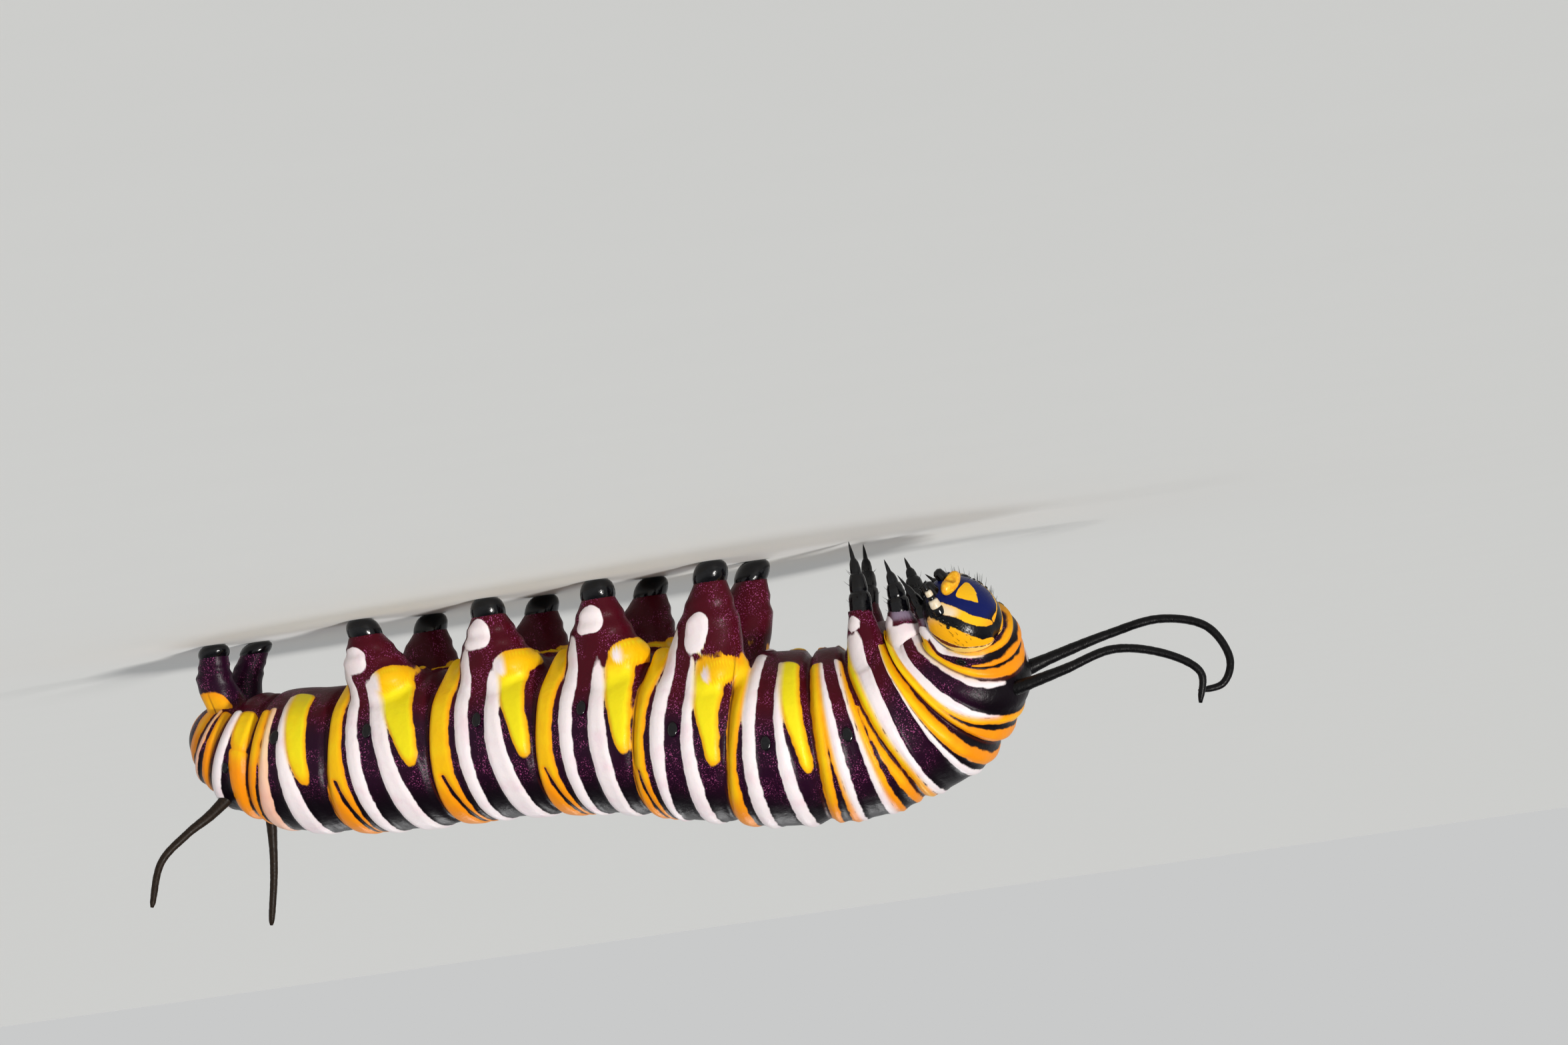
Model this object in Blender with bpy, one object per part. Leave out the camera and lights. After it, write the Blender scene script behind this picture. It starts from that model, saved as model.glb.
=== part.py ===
# A monarch butterfly larva, last instar, as a still life-size model standing on its prolegs.
# Metres, +Z up, head towards -X, left side towards -Y. The sizes below are in millimetres.
import math

import bmesh
import bpy
from mathutils import Matrix, Quaternion, Vector

MM = 0.001
GAP = 0.3  # clear space between neighbouring pieces
SIDES = ("left", "right")

# One row for each body segment, from the tail to the neck:
# name, length, then at its front edge the climb, turn to the left and roll of the back to the left, in degrees,
# then at its middle the radius up to the back, down to the belly and out to the side.
SEGMENTS = (
    ("abdomen_10", 1.2, 36, 0, 15, 1.55, 1.50, 1.55),
    ("abdomen_9", 0.9, 29, 0, 15, 2.10, 1.95, 2.05),
    ("abdomen_8", 1.8, 15, 0, 13, 2.55, 2.50, 2.45),
    ("abdomen_7", 4.0, 3, 0, 6, 2.95, 2.95, 2.85),
    ("abdomen_6", 4.6, 1, 0, 1, 3.10, 3.20, 3.00),
    ("abdomen_5", 4.6, 5, 0, 0, 3.10, 3.25, 3.05),
    ("abdomen_4", 4.2, 10, -3, -2, 3.15, 3.30, 3.10),
    ("abdomen_3", 3.8, 11, -11, -10, 3.35, 3.40, 3.25),
    ("abdomen_2", 3.0, -1, -18, -16, 3.45, 3.50, 3.40),
    ("abdomen_1", 2.6, -14, -18, -17, 3.55, 3.40, 3.40),
    ("thorax_3", 2.7, -34, 6, -17, 3.45, 3.70, 3.25),
    ("thorax_2", 1.9, -44, 38, -36, 2.85, 2.85, 2.60),
    ("thorax_1", 0.9, -44, 62, -60, 1.78, 2.00, 1.95),
)
TAIL_ATTITUDE = (42, 0, 15)  # climb, turn and roll at the very end of the tail
NECK_RADII = (1.40, 1.50, 1.60)
TAIL_ROUND = 1.5  # length over which the tail end rounds off
LEVEL_SEGMENT = 5  # the front edge of this many segments from the tail starts the spine
LEVEL_PLACE = (11.75, 0.0, 5.50)
MIDDLE = (3.39, 1.87, 0.0)  # of all the pieces, over the floor; it becomes the origin
SPINE_STEPS = 24  # straight steps in each segment

BODY_SIDES = 24
BODY_RINGS = (0.12, 0.25, 0.36, 0.5, 0.64, 0.75, 0.88)
CORE_GROWTH = 0.38  # the gap, and a little for the flats between the core's few rings
RING_CLEARANCE = 0.05  # a ring this close to a cut face is left out
FOLD_DEPTH = 0.055  # share of the radius lost in the fold between two segments
RIPPLE_DEPTH = 0.012  # share of the radius in the three small folds of one segment

# Feet on the floor: name, segment, share along it where the root is, then the x of the left and right foot.
PROLEGS = (
    ("proleg_3", 7, 0.55, -1.0, -0.8),
    ("proleg_4", 6, 0.55, 3.9, 3.6),
    ("proleg_5", 5, 0.52, 8.8, 8.5),
    ("proleg_6", 4, 0.45, 14.5, 13.6),
)
PROLEG_SPREAD = 2.2  # from the middle to a foot
PROLEG_ROOT_ANGLE = -52
PROLEG_ROOT_DEPTH = 0.6  # share of the body's radius at which the root starts
# Share of the way down, half length and half width.
PROLEG_PROFILE = (
    (0.0, 1.7, 1.3),
    (0.3, 1.62, 1.25),
    (0.5, 1.42, 1.05),
    (0.63, 1.12, 0.88),
    (0.76, 0.86, 0.74),
    (0.84, 0.68, 0.64),
    (0.94, 0.66, 0.62),
    (1.0, 0.50, 0.48),
)
ANAL_FEET = (21.7, 21.2)  # x of the left and right foot
ANAL_SPREAD = 1.4
ANAL_ROOT_SHARE = 0.7
ANAL_ROOT_ANGLE = -35
ANAL_PROFILE = ((0.0, 1.0, 0.7), (0.4, 0.9, 0.7), (0.65, 0.68, 0.58), (0.78, 0.62, 0.55), (1.0, 0.55, 0.5))
PROLEG_SIDES = 12

# True legs: name, segment, share along it, root angle, thickness, then the left tip and the right tip.
LEGS = (
    ("leg_1", 12, 0.7, -46, 0.54, (-7.8, 0.2, 1.6), (-7.9, 2.6, 1.6)),
    ("leg_2", 11, 0.3, -66, 0.64, (-7.2, 0.5, 0.9), (-6.9, 3.1, 0.8)),
    ("leg_3", 10, 0.0, -66, 1.1, (-5.9, 0.3, 0.0), (-5.1, 3.4, 0.0)),
)
# Share of the way to the tip, radius.
LEG_PROFILE = ((0.0, 0.8), (0.38, 0.75), (0.5, 0.60), (0.62, 0.48), (0.75, 0.38), (0.87, 0.27), (1.0, 0.12))
LEG_ROOT_DEPTH = 0.82  # share of the body's radius at which a leg starts
LEG_SIDES = 10

# The head: its centre lies ahead of the neck, and it is turned from the neck's own line.
HEAD_ATTITUDE = (-18, 32, -37)
HEAD_SET = (0.62, 0.18, -0.41)  # from the neck: ahead, to the left, towards the back
HEAD_HALF = (1.22, 1.52, 1.70)  # half depth, width and height
HEAD_SIDES = 20
HEAD_RINGS = 10
CROWN_GROOVE = 0.08  # share of the radius lost in the groove over the crown
GROOVE_WIDTH = 0.22
# Small parts of the mouth in the head's own frame: root, tip (forward, left, up), root radius, tip radius.
LABRUM = ((0.60, 0.0, -0.90), (1.15, 0.0, -1.42), 0.42, 0.28)
LABIUM = ((-0.20, 0.0, -1.15), (-0.25, 0.0, -1.95), 0.27, 0.25)
MANDIBLE = ((0.38, 0.40, -1.15), (0.43, 0.40, -2.05), 0.25, 0.25)
ANTENNAS = {  # the right one is folded back under the cheek
    "left": ((0.47, 1.05, -0.80), (0.97, 0.90, -2.15), 0.26, 0.13),
    "right": ((0.40, 1.05, -0.80), (-0.35, 1.35, -1.45), 0.26, 0.16),
}
MOUTH_SIDES = 8

# The feelers are soft horns. Each way is a smooth curve from a root inside the body.
FRONT_WAYS = {
    "left": (
        (-9.9, 1.9, 6.7), (-11.5, 2.0, 6.5), (-13.2, 2.5, 6.1), (-15.0, 3.2, 5.6),
        (-16.7, 4.0, 6.0), (-17.9, 4.6, 6.9), (-17.7, 4.7, 8.1),
    ),
    "right": (
        (-9.4, 3.7, 6.3), (-10.9, 4.1, 5.8), (-12.2, 4.6, 5.4), (-14.1, 5.3, 4.9),
        (-15.9, 6.1, 4.6), (-17.5, 6.8, 5.1), (-18.2, 7.1, 6.4), (-17.9, 6.9, 7.4), (-17.0, 6.4, 7.6),
    ),
}
REAR_WAYS = {
    "left": ((21.6, -0.8, 5.6), (22.6, -1.8, 6.7), (23.5, -2.5, 7.4), (24.5, -3.1, 8.4), (25.0, -3.4, 10.1)),
    "right": ((21.6, 1.2, 5.8), (21.9, 1.6, 7.7), (22.2, 1.8, 9.4), (22.8, 2.1, 11.4)),
}
# Share of the way to the tip, radius.
FRONT_PROFILE = ((0.0, 0.50), (0.15, 0.32), (0.3, 0.26), (0.9, 0.25), (1.0, 0.18))
REAR_PROFILE = ((0.0, 0.42), (0.3, 0.32), (0.5, 0.26), (0.9, 0.25), (1.0, 0.18))
FRONT_LENGTHS = ("base", "middle", "tip")
FEELER_SIDES = 8
FEELER_STEP = 0.8  # between two rings of a feeler


def clear_scene():
    for thing in list(bpy.data.objects):
        bpy.data.objects.remove(thing)


def lerp(a, b, t):
    return a + (b - a) * t


def ease(a, b, t):
    return lerp(a, b, 0.5 - 0.5 * math.cos(math.pi * t))


def attitude(climb, turn, roll):
    """A turn whose local x runs forward, y to the left and z to the back."""
    heading = Quaternion((0, 0, 1), math.pi + math.radians(turn))
    pitch = Quaternion((0, 1, 0), -math.radians(climb))
    return heading @ pitch @ Quaternion((1, 0, 0), -math.radians(roll))


def grow_spine():
    """A place and a turn at each step of each segment, from one level place in both directions."""
    edges = [attitude(*TAIL_ATTITUDE)] + [attitude(*row[2:5]) for row in SEGMENTS]
    steps = []
    for n, row in enumerate(SEGMENTS):
        turns = [edges[n].slerp(edges[n + 1], k / SPINE_STEPS) for k in range(SPINE_STEPS + 1)]
        middles = [edges[n].slerp(edges[n + 1], (k + 0.5) / SPINE_STEPS) for k in range(SPINE_STEPS)]
        moves = [spin @ Vector((row[1] / SPINE_STEPS, 0, 0)) for spin in middles]
        steps.append((turns, moves))
    spine = {}
    place = Vector(LEVEL_PLACE)
    for n in range(LEVEL_SEGMENT, len(SEGMENTS)):
        turns, moves = steps[n]
        for k in range(SPINE_STEPS + 1):
            spine[n, k] = (place.copy(), turns[k])
            if k < SPINE_STEPS:
                place = place + moves[k]
    place = Vector(LEVEL_PLACE)
    for n in range(LEVEL_SEGMENT - 1, -1, -1):
        turns, moves = steps[n]
        for k in range(SPINE_STEPS, -1, -1):
            spine[n, k] = (place.copy(), turns[k])
            if k > 0:
                place = place - moves[k - 1]
    return spine


def frame_at(spine, n, u):
    k = min(int(u * SPINE_STEPS), SPINE_STEPS - 1)
    (p0, q0), (p1, q1) = spine[n, k], spine[n, k + 1]
    t = u * SPINE_STEPS - k
    return p0.lerp(p1, t), q0.slerp(q1, t)


def radii_at(n, u):
    """Back, belly and side radius at share u of segment n."""
    middle = [row[5:8] for row in SEGMENTS]
    if u < 0.5:
        before = middle[n - 1] if n else [0.8 * r for r in middle[0]]
        radii = [ease(a, b, u + 0.5) for a, b in zip(before, middle[n])]
    else:
        after = middle[n + 1] if n + 1 < len(middle) else NECK_RADII
        share = u - 0.5 if n + 1 < len(middle) else 2 * (u - 0.5)
        radii = [ease(a, b, share) for a, b in zip(middle[n], after)]
    fold = 1 - FOLD_DEPTH * abs(2 * u - 1) ** 4
    ripple = 1 - RIPPLE_DEPTH * (0.5 + 0.5 * math.cos(6 * math.pi * u))
    along = sum(row[1] for row in SEGMENTS[:n]) + u * SEGMENTS[n][1]
    end = math.sqrt(max(0.0, 1 - (1 - min(1.0, along / TAIL_ROUND)) ** 2))
    return [r * fold * ripple * end for r in radii]


def skin_point(frame, radii, angle):
    """A point of the body's skin. Angle 0 is the left side and 90 degrees the back."""
    place, spin = frame
    back, belly, side = radii
    rise = math.sin(angle) * (back if math.sin(angle) > 0 else belly)
    return place + spin @ Vector((0, side * math.cos(angle), rise))


def body_ring(frame, radii):
    return [skin_point(frame, radii, 2 * math.pi * k / BODY_SIDES) for k in range(BODY_SIDES)]


def loft(rings):
    """A closed skin over rings of points; a ring of one point is a pole."""
    bm = bmesh.new()
    loops = [[bm.verts.new(p) for p in ring] for ring in rings]
    for low, high in zip(loops, loops[1:]):
        count = max(len(low), len(high))
        for k in range(count):
            m = (k + 1) % count
            corners = [low[k % len(low)], low[m % len(low)], high[m % len(high)], high[k % len(high)]]
            bm.faces.new(list(dict.fromkeys(corners)))
    for loop in (loops[0], loops[-1]):
        if len(loop) > 2:
            bm.faces.new(loop)
    bmesh.ops.recalc_face_normals(bm, faces=bm.faces)
    return bm


def add_piece(name, bm, finish):
    mesh = bpy.data.meshes.new(name)
    bm.to_mesh(mesh)
    bm.free()
    piece = bpy.data.objects.new(name, mesh)
    piece.data.materials.append(finish)
    bpy.context.collection.objects.link(piece)
    return piece


def keep_largest(bm):
    """Drops every loose scrap but the piece with the most faces."""
    left = set(bm.verts)
    groups = []
    while left:
        group = set()
        front = {left.pop()}
        while front:
            group |= front
            front = {e.other_vert(v) for v in front for e in v.link_edges} - group
        left -= group
        groups.append(group)
    best = max(groups, key=len)
    bmesh.ops.delete(bm, geom=[v for v in bm.verts if v not in best], context="VERTS")


def combine(piece, other, operation):
    """Joins another shape to the piece, or takes it away, for good."""
    step = piece.modifiers.new("combine", "BOOLEAN")
    step.operation = operation
    step.solver = "EXACT"
    step.use_self = True
    step.object = other
    seen = piece.evaluated_get(bpy.context.evaluated_depsgraph_get())
    bm = bmesh.new()
    bm.from_mesh(seen.to_mesh())
    piece.modifiers.clear()
    keep_largest(bm)
    bm.to_mesh(piece.data)
    bm.free()


def clear_of(plane, ring):
    place, spin = plane
    ahead = spin @ Vector((1, 0, 0))
    return min(abs((p - place).dot(ahead)) for p in ring) > RING_CLEARANCE


def shifted(frame, advance):
    place, spin = frame
    return place + spin @ Vector((advance, 0, 0)), spin


def body_segment(spine, n):
    """One length of the body between two flat faces, half a gap inside its folds."""
    rear = shifted(frame_at(spine, n, 0), GAP / 2)
    last = n == len(SEGMENTS) - 1
    front = shifted(frame_at(spine, n, 1), 0 if last else -GAP / 2)
    rings = []
    for u in BODY_RINGS:
        ring = body_ring(frame_at(spine, n, u), radii_at(n, u))
        if clear_of(front, ring) and (n == 0 or clear_of(rear, ring)):
            rings.append(ring)
    start = [frame_at(spine, 0, 0)[0]] if n == 0 else body_ring(rear, radii_at(n, 0))
    return loft([start] + rings + [body_ring(front, radii_at(n, 1))])


def body_core(spine):
    """The whole body, swollen a little, to cut what grows from it."""
    rings = [[shifted(frame_at(spine, 0, 0), -CORE_GROWTH)[0]]]
    for n in range(len(SEGMENTS)):
        for u in (0.0, 0.25, 0.5, 0.75):
            if n or u:
                grown = [r + CORE_GROWTH for r in radii_at(n, u)]
                rings.append(body_ring(frame_at(spine, n, u), grown))
    neck = shifted(frame_at(spine, len(SEGMENTS) - 1, 1), CORE_GROWTH)
    rings.append(body_ring(neck, [r + CORE_GROWTH for r in radii_at(len(SEGMENTS) - 1, 1)]))
    return loft(rings)


def level_ring(centre, half_length, half_width, sides):
    angles = [2 * math.pi * k / sides for k in range(sides)]
    return [centre + Vector((half_length * math.cos(a), half_width * math.sin(a), 0)) for a in angles]


def mirrored(angle, side):
    return math.radians(angle if side == "left" else 180 - angle)


def proleg(spine, n, share, angle, side, foot_x, spread, profile):
    frame = frame_at(spine, n, share)
    depth = [PROLEG_ROOT_DEPTH * r for r in radii_at(n, share)]
    root = skin_point(frame, depth, mirrored(angle, side))
    foot = Vector((foot_x, frame[0].y + (-spread if side == "left" else spread), 0))
    rings = [level_ring(root.lerp(foot, t), a, b, PROLEG_SIDES) for t, a, b in profile]
    return loft(rings)


def tube(points, radii, sides):
    """A round rod through the points; each ring stands square to the way on both sides of it."""
    rings = []
    side = None
    for k, point in enumerate(points):
        ahead = (points[min(k + 1, len(points) - 1)] - points[max(k - 1, 0)]).normalized()
        if side is None:
            side = ahead.orthogonal().normalized()
        side = (side - ahead * side.dot(ahead)).normalized()
        lift = ahead.cross(side)
        angles = [2 * math.pi * m / sides for m in range(sides)]
        rings.append([point + radii[k] * (side * math.cos(a) + lift * math.sin(a)) for a in angles])
    return loft(rings)


def at_share(profile, t):
    """The value at share t of a way, from rows of share and value."""
    for (t0, v0), (t1, v1) in zip(profile, profile[1:]):
        if t <= t1:
            return lerp(v0, v1, (t - t0) / (t1 - t0))
    return profile[-1][1]


def leg(spine, n, share, angle, size, side, tip):
    frame = frame_at(spine, n, share)
    depth = [LEG_ROOT_DEPTH * r for r in radii_at(n, share)]
    root = skin_point(frame, depth, mirrored(angle, side))
    rings = [level_ring(root.lerp(Vector(tip), t), size * r, size * r, LEG_SIDES) for t, r in LEG_PROFILE]
    return loft(rings)


def smooth_way(places, steps=12):
    """Points on a smooth curve through the places, and how far along it each one is."""
    knots = [Vector(p) for p in places]
    knots = [2 * knots[0] - knots[1]] + knots + [2 * knots[-1] - knots[-2]]
    points = []
    for a, b, c, d in zip(knots, knots[1:], knots[2:], knots[3:]):
        for k in range(steps):
            t = k / steps
            slope = (c - a) * t + (2 * a - 5 * b + 4 * c - d) * t * t + (3 * b - a - 3 * c + d) * t ** 3
            points.append(b + 0.5 * slope)
    points.append(knots[-2])
    reach = [0.0]
    for p, q in zip(points, points[1:]):
        reach.append(reach[-1] + (q - p).length)
    return points, reach


def point_at(points, reach, distance):
    for k in range(len(points) - 1):
        if distance <= reach[k + 1]:
            return points[k].lerp(points[k + 1], (distance - reach[k]) / (reach[k + 1] - reach[k]))
    return points[-1]


def feeler_length(places, profile, start, end):
    """One length of a feeler, from one share of its way to another."""
    points, reach = smooth_way(places)
    whole = reach[-1]
    first = start * whole + (GAP / 2 if start > 0 else 0)
    last = end * whole - (GAP / 2 if end < 1 else 0)
    count = max(2, round((last - first) / FEELER_STEP))
    stops = [lerp(first, last, k / count) for k in range(count + 1)]
    centres = [point_at(points, reach, d) for d in stops]
    return tube(centres, [at_share(profile, d / whole) for d in stops], FEELER_SIDES)


def head_frame(spine):
    neck = frame_at(spine, len(SEGMENTS) - 1, 1)
    return neck[0] + neck[1] @ Vector(HEAD_SET), attitude(*HEAD_ATTITUDE)


def head_shape(spine, grow=0.0):
    """The capsule: an egg with a groove over its crown."""
    place, spin = head_frame(spine)
    rings = []
    for k in range(HEAD_RINGS + 1):
        tilt = math.pi * k / HEAD_RINGS
        ring = []
        for m in range(HEAD_SIDES if 0 < k < HEAD_RINGS else 1):
            round_angle = 2 * math.pi * m / HEAD_SIDES
            aim = Vector((math.sin(tilt) * math.cos(round_angle), math.sin(tilt) * math.sin(round_angle),
                          math.cos(tilt)))
            groove = CROWN_GROOVE * max(0.0, aim.z) * math.exp(-(aim.y / GROOVE_WIDTH) ** 2)
            size = Vector([a * (half + grow) for a, half in zip(aim, HEAD_HALF)])
            ring.append(place + spin @ (size * (1 - groove)))
        rings.append(ring)
    return loft(rings)


def cut_at_neck(bm, spine):
    """Ends the head in a flat face, a gap in front of the neck."""
    place, spin = shifted(frame_at(spine, len(SEGMENTS) - 1, 1), GAP)
    everything = bm.verts[:] + bm.edges[:] + bm.faces[:]
    made = bmesh.ops.bisect_plane(
        bm, geom=everything, plane_co=place, plane_no=spin @ Vector((1, 0, 0)), clear_inner=True)
    rim = [e for e in made["geom_cut"] if isinstance(e, bmesh.types.BMEdge)]
    bmesh.ops.contextual_create(bm, geom=rim)


def mouth_part(spine, row, side=1):
    place, spin = head_frame(spine)
    root, tip, thick, thin = row
    ends = [place + spin @ Vector((p[0], side * p[1], p[2])) for p in (root, tip)]
    middle = ends[0].lerp(ends[1], 0.6)
    return tube([ends[0], middle, ends[1]], [thick, lerp(thick, thin, 0.3), thin], MOUTH_SIDES)


def make_finish(name, colour, roughness):
    finish = bpy.data.materials.new(name)
    finish.use_nodes = True
    shader = finish.node_tree.nodes["Principled BSDF"]
    shader.inputs["Base Color"].default_value = (*colour, 1.0)
    shader.inputs["Roughness"].default_value = roughness
    return finish


def build():
    clear_scene()
    spine = grow_spine()
    skin = make_finish("skin", (0.85, 0.62, 0.10), 0.45)
    dark = make_finish("dark_skin", (0.05, 0.01, 0.02), 0.45)
    shell = make_finish("shell", (0.01, 0.01, 0.012), 0.2)
    horn = make_finish("horn", (0.01, 0.01, 0.01), 0.6)

    pieces = [add_piece(row[0], body_segment(spine, n), skin) for n, row in enumerate(SEGMENTS)]
    core = add_piece("core", body_core(spine), skin)
    rooted = []
    for name, n, share, *feet in PROLEGS:
        for side, foot_x in zip(SIDES, feet):
            bm = proleg(spine, n, share, PROLEG_ROOT_ANGLE, side, foot_x, PROLEG_SPREAD, PROLEG_PROFILE)
            rooted.append(add_piece(f"{name}_{side}", bm, dark))
    for side, foot_x in zip(SIDES, ANAL_FEET):
        bm = proleg(spine, 0, ANAL_ROOT_SHARE, ANAL_ROOT_ANGLE, side, foot_x, ANAL_SPREAD, ANAL_PROFILE)
        rooted.append(add_piece(f"anal_proleg_{side}", bm, dark))
    for name, n, share, angle, size, *tips in LEGS:
        for side, tip in zip(SIDES, tips):
            rooted.append(add_piece(f"{name}_{side}", leg(spine, n, share, angle, size, side, tip), shell))
    for side in SIDES:
        for k, part in enumerate(FRONT_LENGTHS):
            ends = [(k + m) / len(FRONT_LENGTHS) for m in (0, 1)]
            bm = feeler_length(FRONT_WAYS[side], FRONT_PROFILE, *ends)
            piece = add_piece(f"front_filament_{side}_{part}", bm, horn)
            (rooted if k == 0 else pieces).append(piece)
        bm = feeler_length(REAR_WAYS[side], REAR_PROFILE, 0, 1)
        rooted.append(add_piece(f"rear_filament_{side}", bm, horn))
    for piece in rooted:
        combine(piece, core, "DIFFERENCE")
    bpy.data.objects.remove(core)

    capsule = head_shape(spine)
    cut_at_neck(capsule, spine)
    head = add_piece("head", capsule, shell)
    labrum = add_piece("labrum", mouth_part(spine, LABRUM), shell)
    combine(head, labrum, "UNION")
    bpy.data.objects.remove(labrum)
    core = add_piece("core", head_shape(spine, GAP), shell)
    mouth = [add_piece("labium", mouth_part(spine, LABIUM), shell)]
    for side, way in zip(SIDES, (1, -1)):
        mouth.append(add_piece(f"mandible_{side}", mouth_part(spine, MANDIBLE, way), shell))
        mouth.append(add_piece(f"antenna_{side}", mouth_part(spine, ANTENNAS[side], way), shell))
    for piece in mouth + [p for p in rooted if p.name.startswith(LEGS[0][0])]:
        combine(piece, core, "DIFFERENCE")
    bpy.data.objects.remove(core)

    pieces += rooted + [head] + mouth
    for piece in pieces:
        piece.data.transform(Matrix.Scale(MM, 4) @ Matrix.Translation(-Vector(MIDDLE)))
        piece.data.shade_smooth()


build()
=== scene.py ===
import math

import bmesh
import bpy
import numpy as np
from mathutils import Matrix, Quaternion, Vector, noise


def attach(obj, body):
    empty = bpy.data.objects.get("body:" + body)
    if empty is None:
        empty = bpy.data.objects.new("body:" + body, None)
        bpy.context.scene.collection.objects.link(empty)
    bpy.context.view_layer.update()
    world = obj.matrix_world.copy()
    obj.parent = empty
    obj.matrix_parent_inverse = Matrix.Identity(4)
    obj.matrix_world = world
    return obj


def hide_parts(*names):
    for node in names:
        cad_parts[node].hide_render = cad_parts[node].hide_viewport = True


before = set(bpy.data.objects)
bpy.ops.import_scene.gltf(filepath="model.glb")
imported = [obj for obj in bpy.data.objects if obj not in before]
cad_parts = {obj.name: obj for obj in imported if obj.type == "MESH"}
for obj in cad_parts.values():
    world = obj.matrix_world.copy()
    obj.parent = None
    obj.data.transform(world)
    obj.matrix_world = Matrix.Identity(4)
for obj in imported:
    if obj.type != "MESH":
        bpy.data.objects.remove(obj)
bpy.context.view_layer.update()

# A last-instar monarch larva. Sizes are in millimetres, with the head towards -X, until a piece is made.
mm = 0.001
middle = Vector((3.39, 1.87, 0.0))  # this place, on the floor, is the frame's origin
sides = {"left": 1, "right": -1}


def lerp(a, b, t):
    return a + (b - a) * t


def ease(a, b, t):
    return lerp(a, b, 0.5 - 0.5 * math.cos(math.pi * t))


def smooth(low, high, x):
    t = np.clip((x - low) / (high - low), 0, 1)
    return t * t * (3 - 2 * t)


def attitude(climb, turn, roll):
    # local x runs forward, y to the left and z to the back
    heading = Quaternion((0, 0, 1), math.pi + math.radians(turn))
    return heading @ Quaternion((0, 1, 0), -math.radians(climb)) @ Quaternion((1, 0, 0), -math.radians(roll))


def bell(x, centre, spread):
    return np.exp(-((x - centre) / spread) ** 2)


# the spine and the round of the body, as in the solids
body = {
    # length, then at the front edge the climb, turn and roll, then the middle radii: back, belly, side
    "segments": {
        "abdomen_10": (1.2, 36, 0, 15, 1.55, 1.50, 1.55),
        "abdomen_9": (0.9, 29, 0, 15, 2.10, 1.95, 2.05),
        "abdomen_8": (1.8, 15, 0, 13, 2.55, 2.50, 2.45),
        "abdomen_7": (4.0, 3, 0, 6, 2.95, 2.95, 2.85),
        "abdomen_6": (4.6, 1, 0, 1, 3.10, 3.20, 3.00),
        "abdomen_5": (4.6, 5, 0, 0, 3.10, 3.25, 3.05),
        "abdomen_4": (4.2, 10, -3, -2, 3.15, 3.30, 3.10),
        "abdomen_3": (3.8, 11, -11, -10, 3.35, 3.40, 3.25),
        "abdomen_2": (3.0, -1, -18, -16, 3.45, 3.50, 3.40),
        "abdomen_1": (2.6, -14, -18, -17, 3.55, 3.40, 3.40),
        "thorax_3": (2.7, -34, 6, -17, 3.45, 3.70, 3.25),
        "thorax_2": (1.9, -44, 38, -36, 2.85, 2.85, 2.60),
        "thorax_1": (0.9, -44, 62, -60, 1.78, 2.00, 1.95),
    },
    "rings": (19, 16, 24, 44, 55, 55, 50, 48, 36, 34, 40, 36, 26),  # in each segment's mesh
    "columns": 204,
    "crowd": (2.2, -44, 19),  # how much closer the columns stand, the angle there and its spread
    "tailAttitude": (42, 0, 15),
    "neckRadii": (1.40, 1.50, 1.60),
    "tailRound": 1.5,
    "levelSegment": 5,
    "levelPlace": (11.75, 0.0, 5.50),
    "steps": 24,
}
segmentNames = list(body["segments"])
segmentRows = list(body["segments"].values())
segmentStart = np.concatenate(([0], np.cumsum([row[0] for row in segmentRows])))


def growSpine():
    edges = [attitude(*body["tailAttitude"])] + [attitude(*row[1:4]) for row in segmentRows]
    count = body["steps"]
    turns, moves = [], []
    for n, row in enumerate(segmentRows):
        turns.append([edges[n].slerp(edges[n + 1], k / count) for k in range(count + 1)])
        halfway = [edges[n].slerp(edges[n + 1], (k + 0.5) / count) for k in range(count)]
        moves.append([spin @ Vector((row[0] / count, 0, 0)) for spin in halfway])
    spine = {}
    place = Vector(body["levelPlace"])
    for n in range(body["levelSegment"], len(segmentRows)):
        for k in range(count + 1):
            spine[n, k] = (place.copy(), turns[n][k])
            if k < count:
                place = place + moves[n][k]
    place = Vector(body["levelPlace"])
    for n in range(body["levelSegment"] - 1, -1, -1):
        for k in range(count, -1, -1):
            spine[n, k] = (place.copy(), turns[n][k])
            if k > 0:
                place = place - moves[n][k - 1]
    return spine


spine = growSpine()


def frameAt(n, u):
    k = min(int(u * body["steps"]), body["steps"] - 1)
    (p0, q0), (p1, q1) = spine[n, k], spine[n, k + 1]
    t = u * body["steps"] - k
    return p0.lerp(p1, t), q0.slerp(q1, t)


def radiiAt(n, u):
    rows = [row[4:7] for row in segmentRows]
    if u < 0.5:
        before = rows[n - 1] if n else [0.8 * r for r in rows[0]]
        radii = [ease(a, b, u + 0.5) for a, b in zip(before, rows[n])]
    else:
        last = n + 1 == len(rows)
        after = body["neckRadii"] if last else rows[n + 1]
        radii = [ease(a, b, 2 * (u - 0.5) if last else u - 0.5) for a, b in zip(rows[n], after)]
    along = segmentStart[n] + u * segmentRows[n][0]
    tail = math.sqrt(max(0.0, 1 - (1 - min(1.0, along / body["tailRound"])) ** 2))
    return [r * tail for r in radii]


def skinPoint(n, u, angle, depth=1.0):
    place, spin = frameAt(n, u)
    back, belly, side = (r * depth for r in radiiAt(n, u))
    rise = math.sin(angle) * (back if math.sin(angle) > 0 else belly)
    return place + spin @ Vector((0, side * math.cos(angle), rise))


def mirrored(degrees, side):
    return math.radians(degrees if side == "left" else 180 - degrees)


# small helpers over the shader nodes
def newFinish(name):
    finish = bpy.data.materials.new(name)
    finish.use_nodes = True
    return finish, finish.node_tree, finish.node_tree.nodes["Principled BSDF"]


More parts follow.
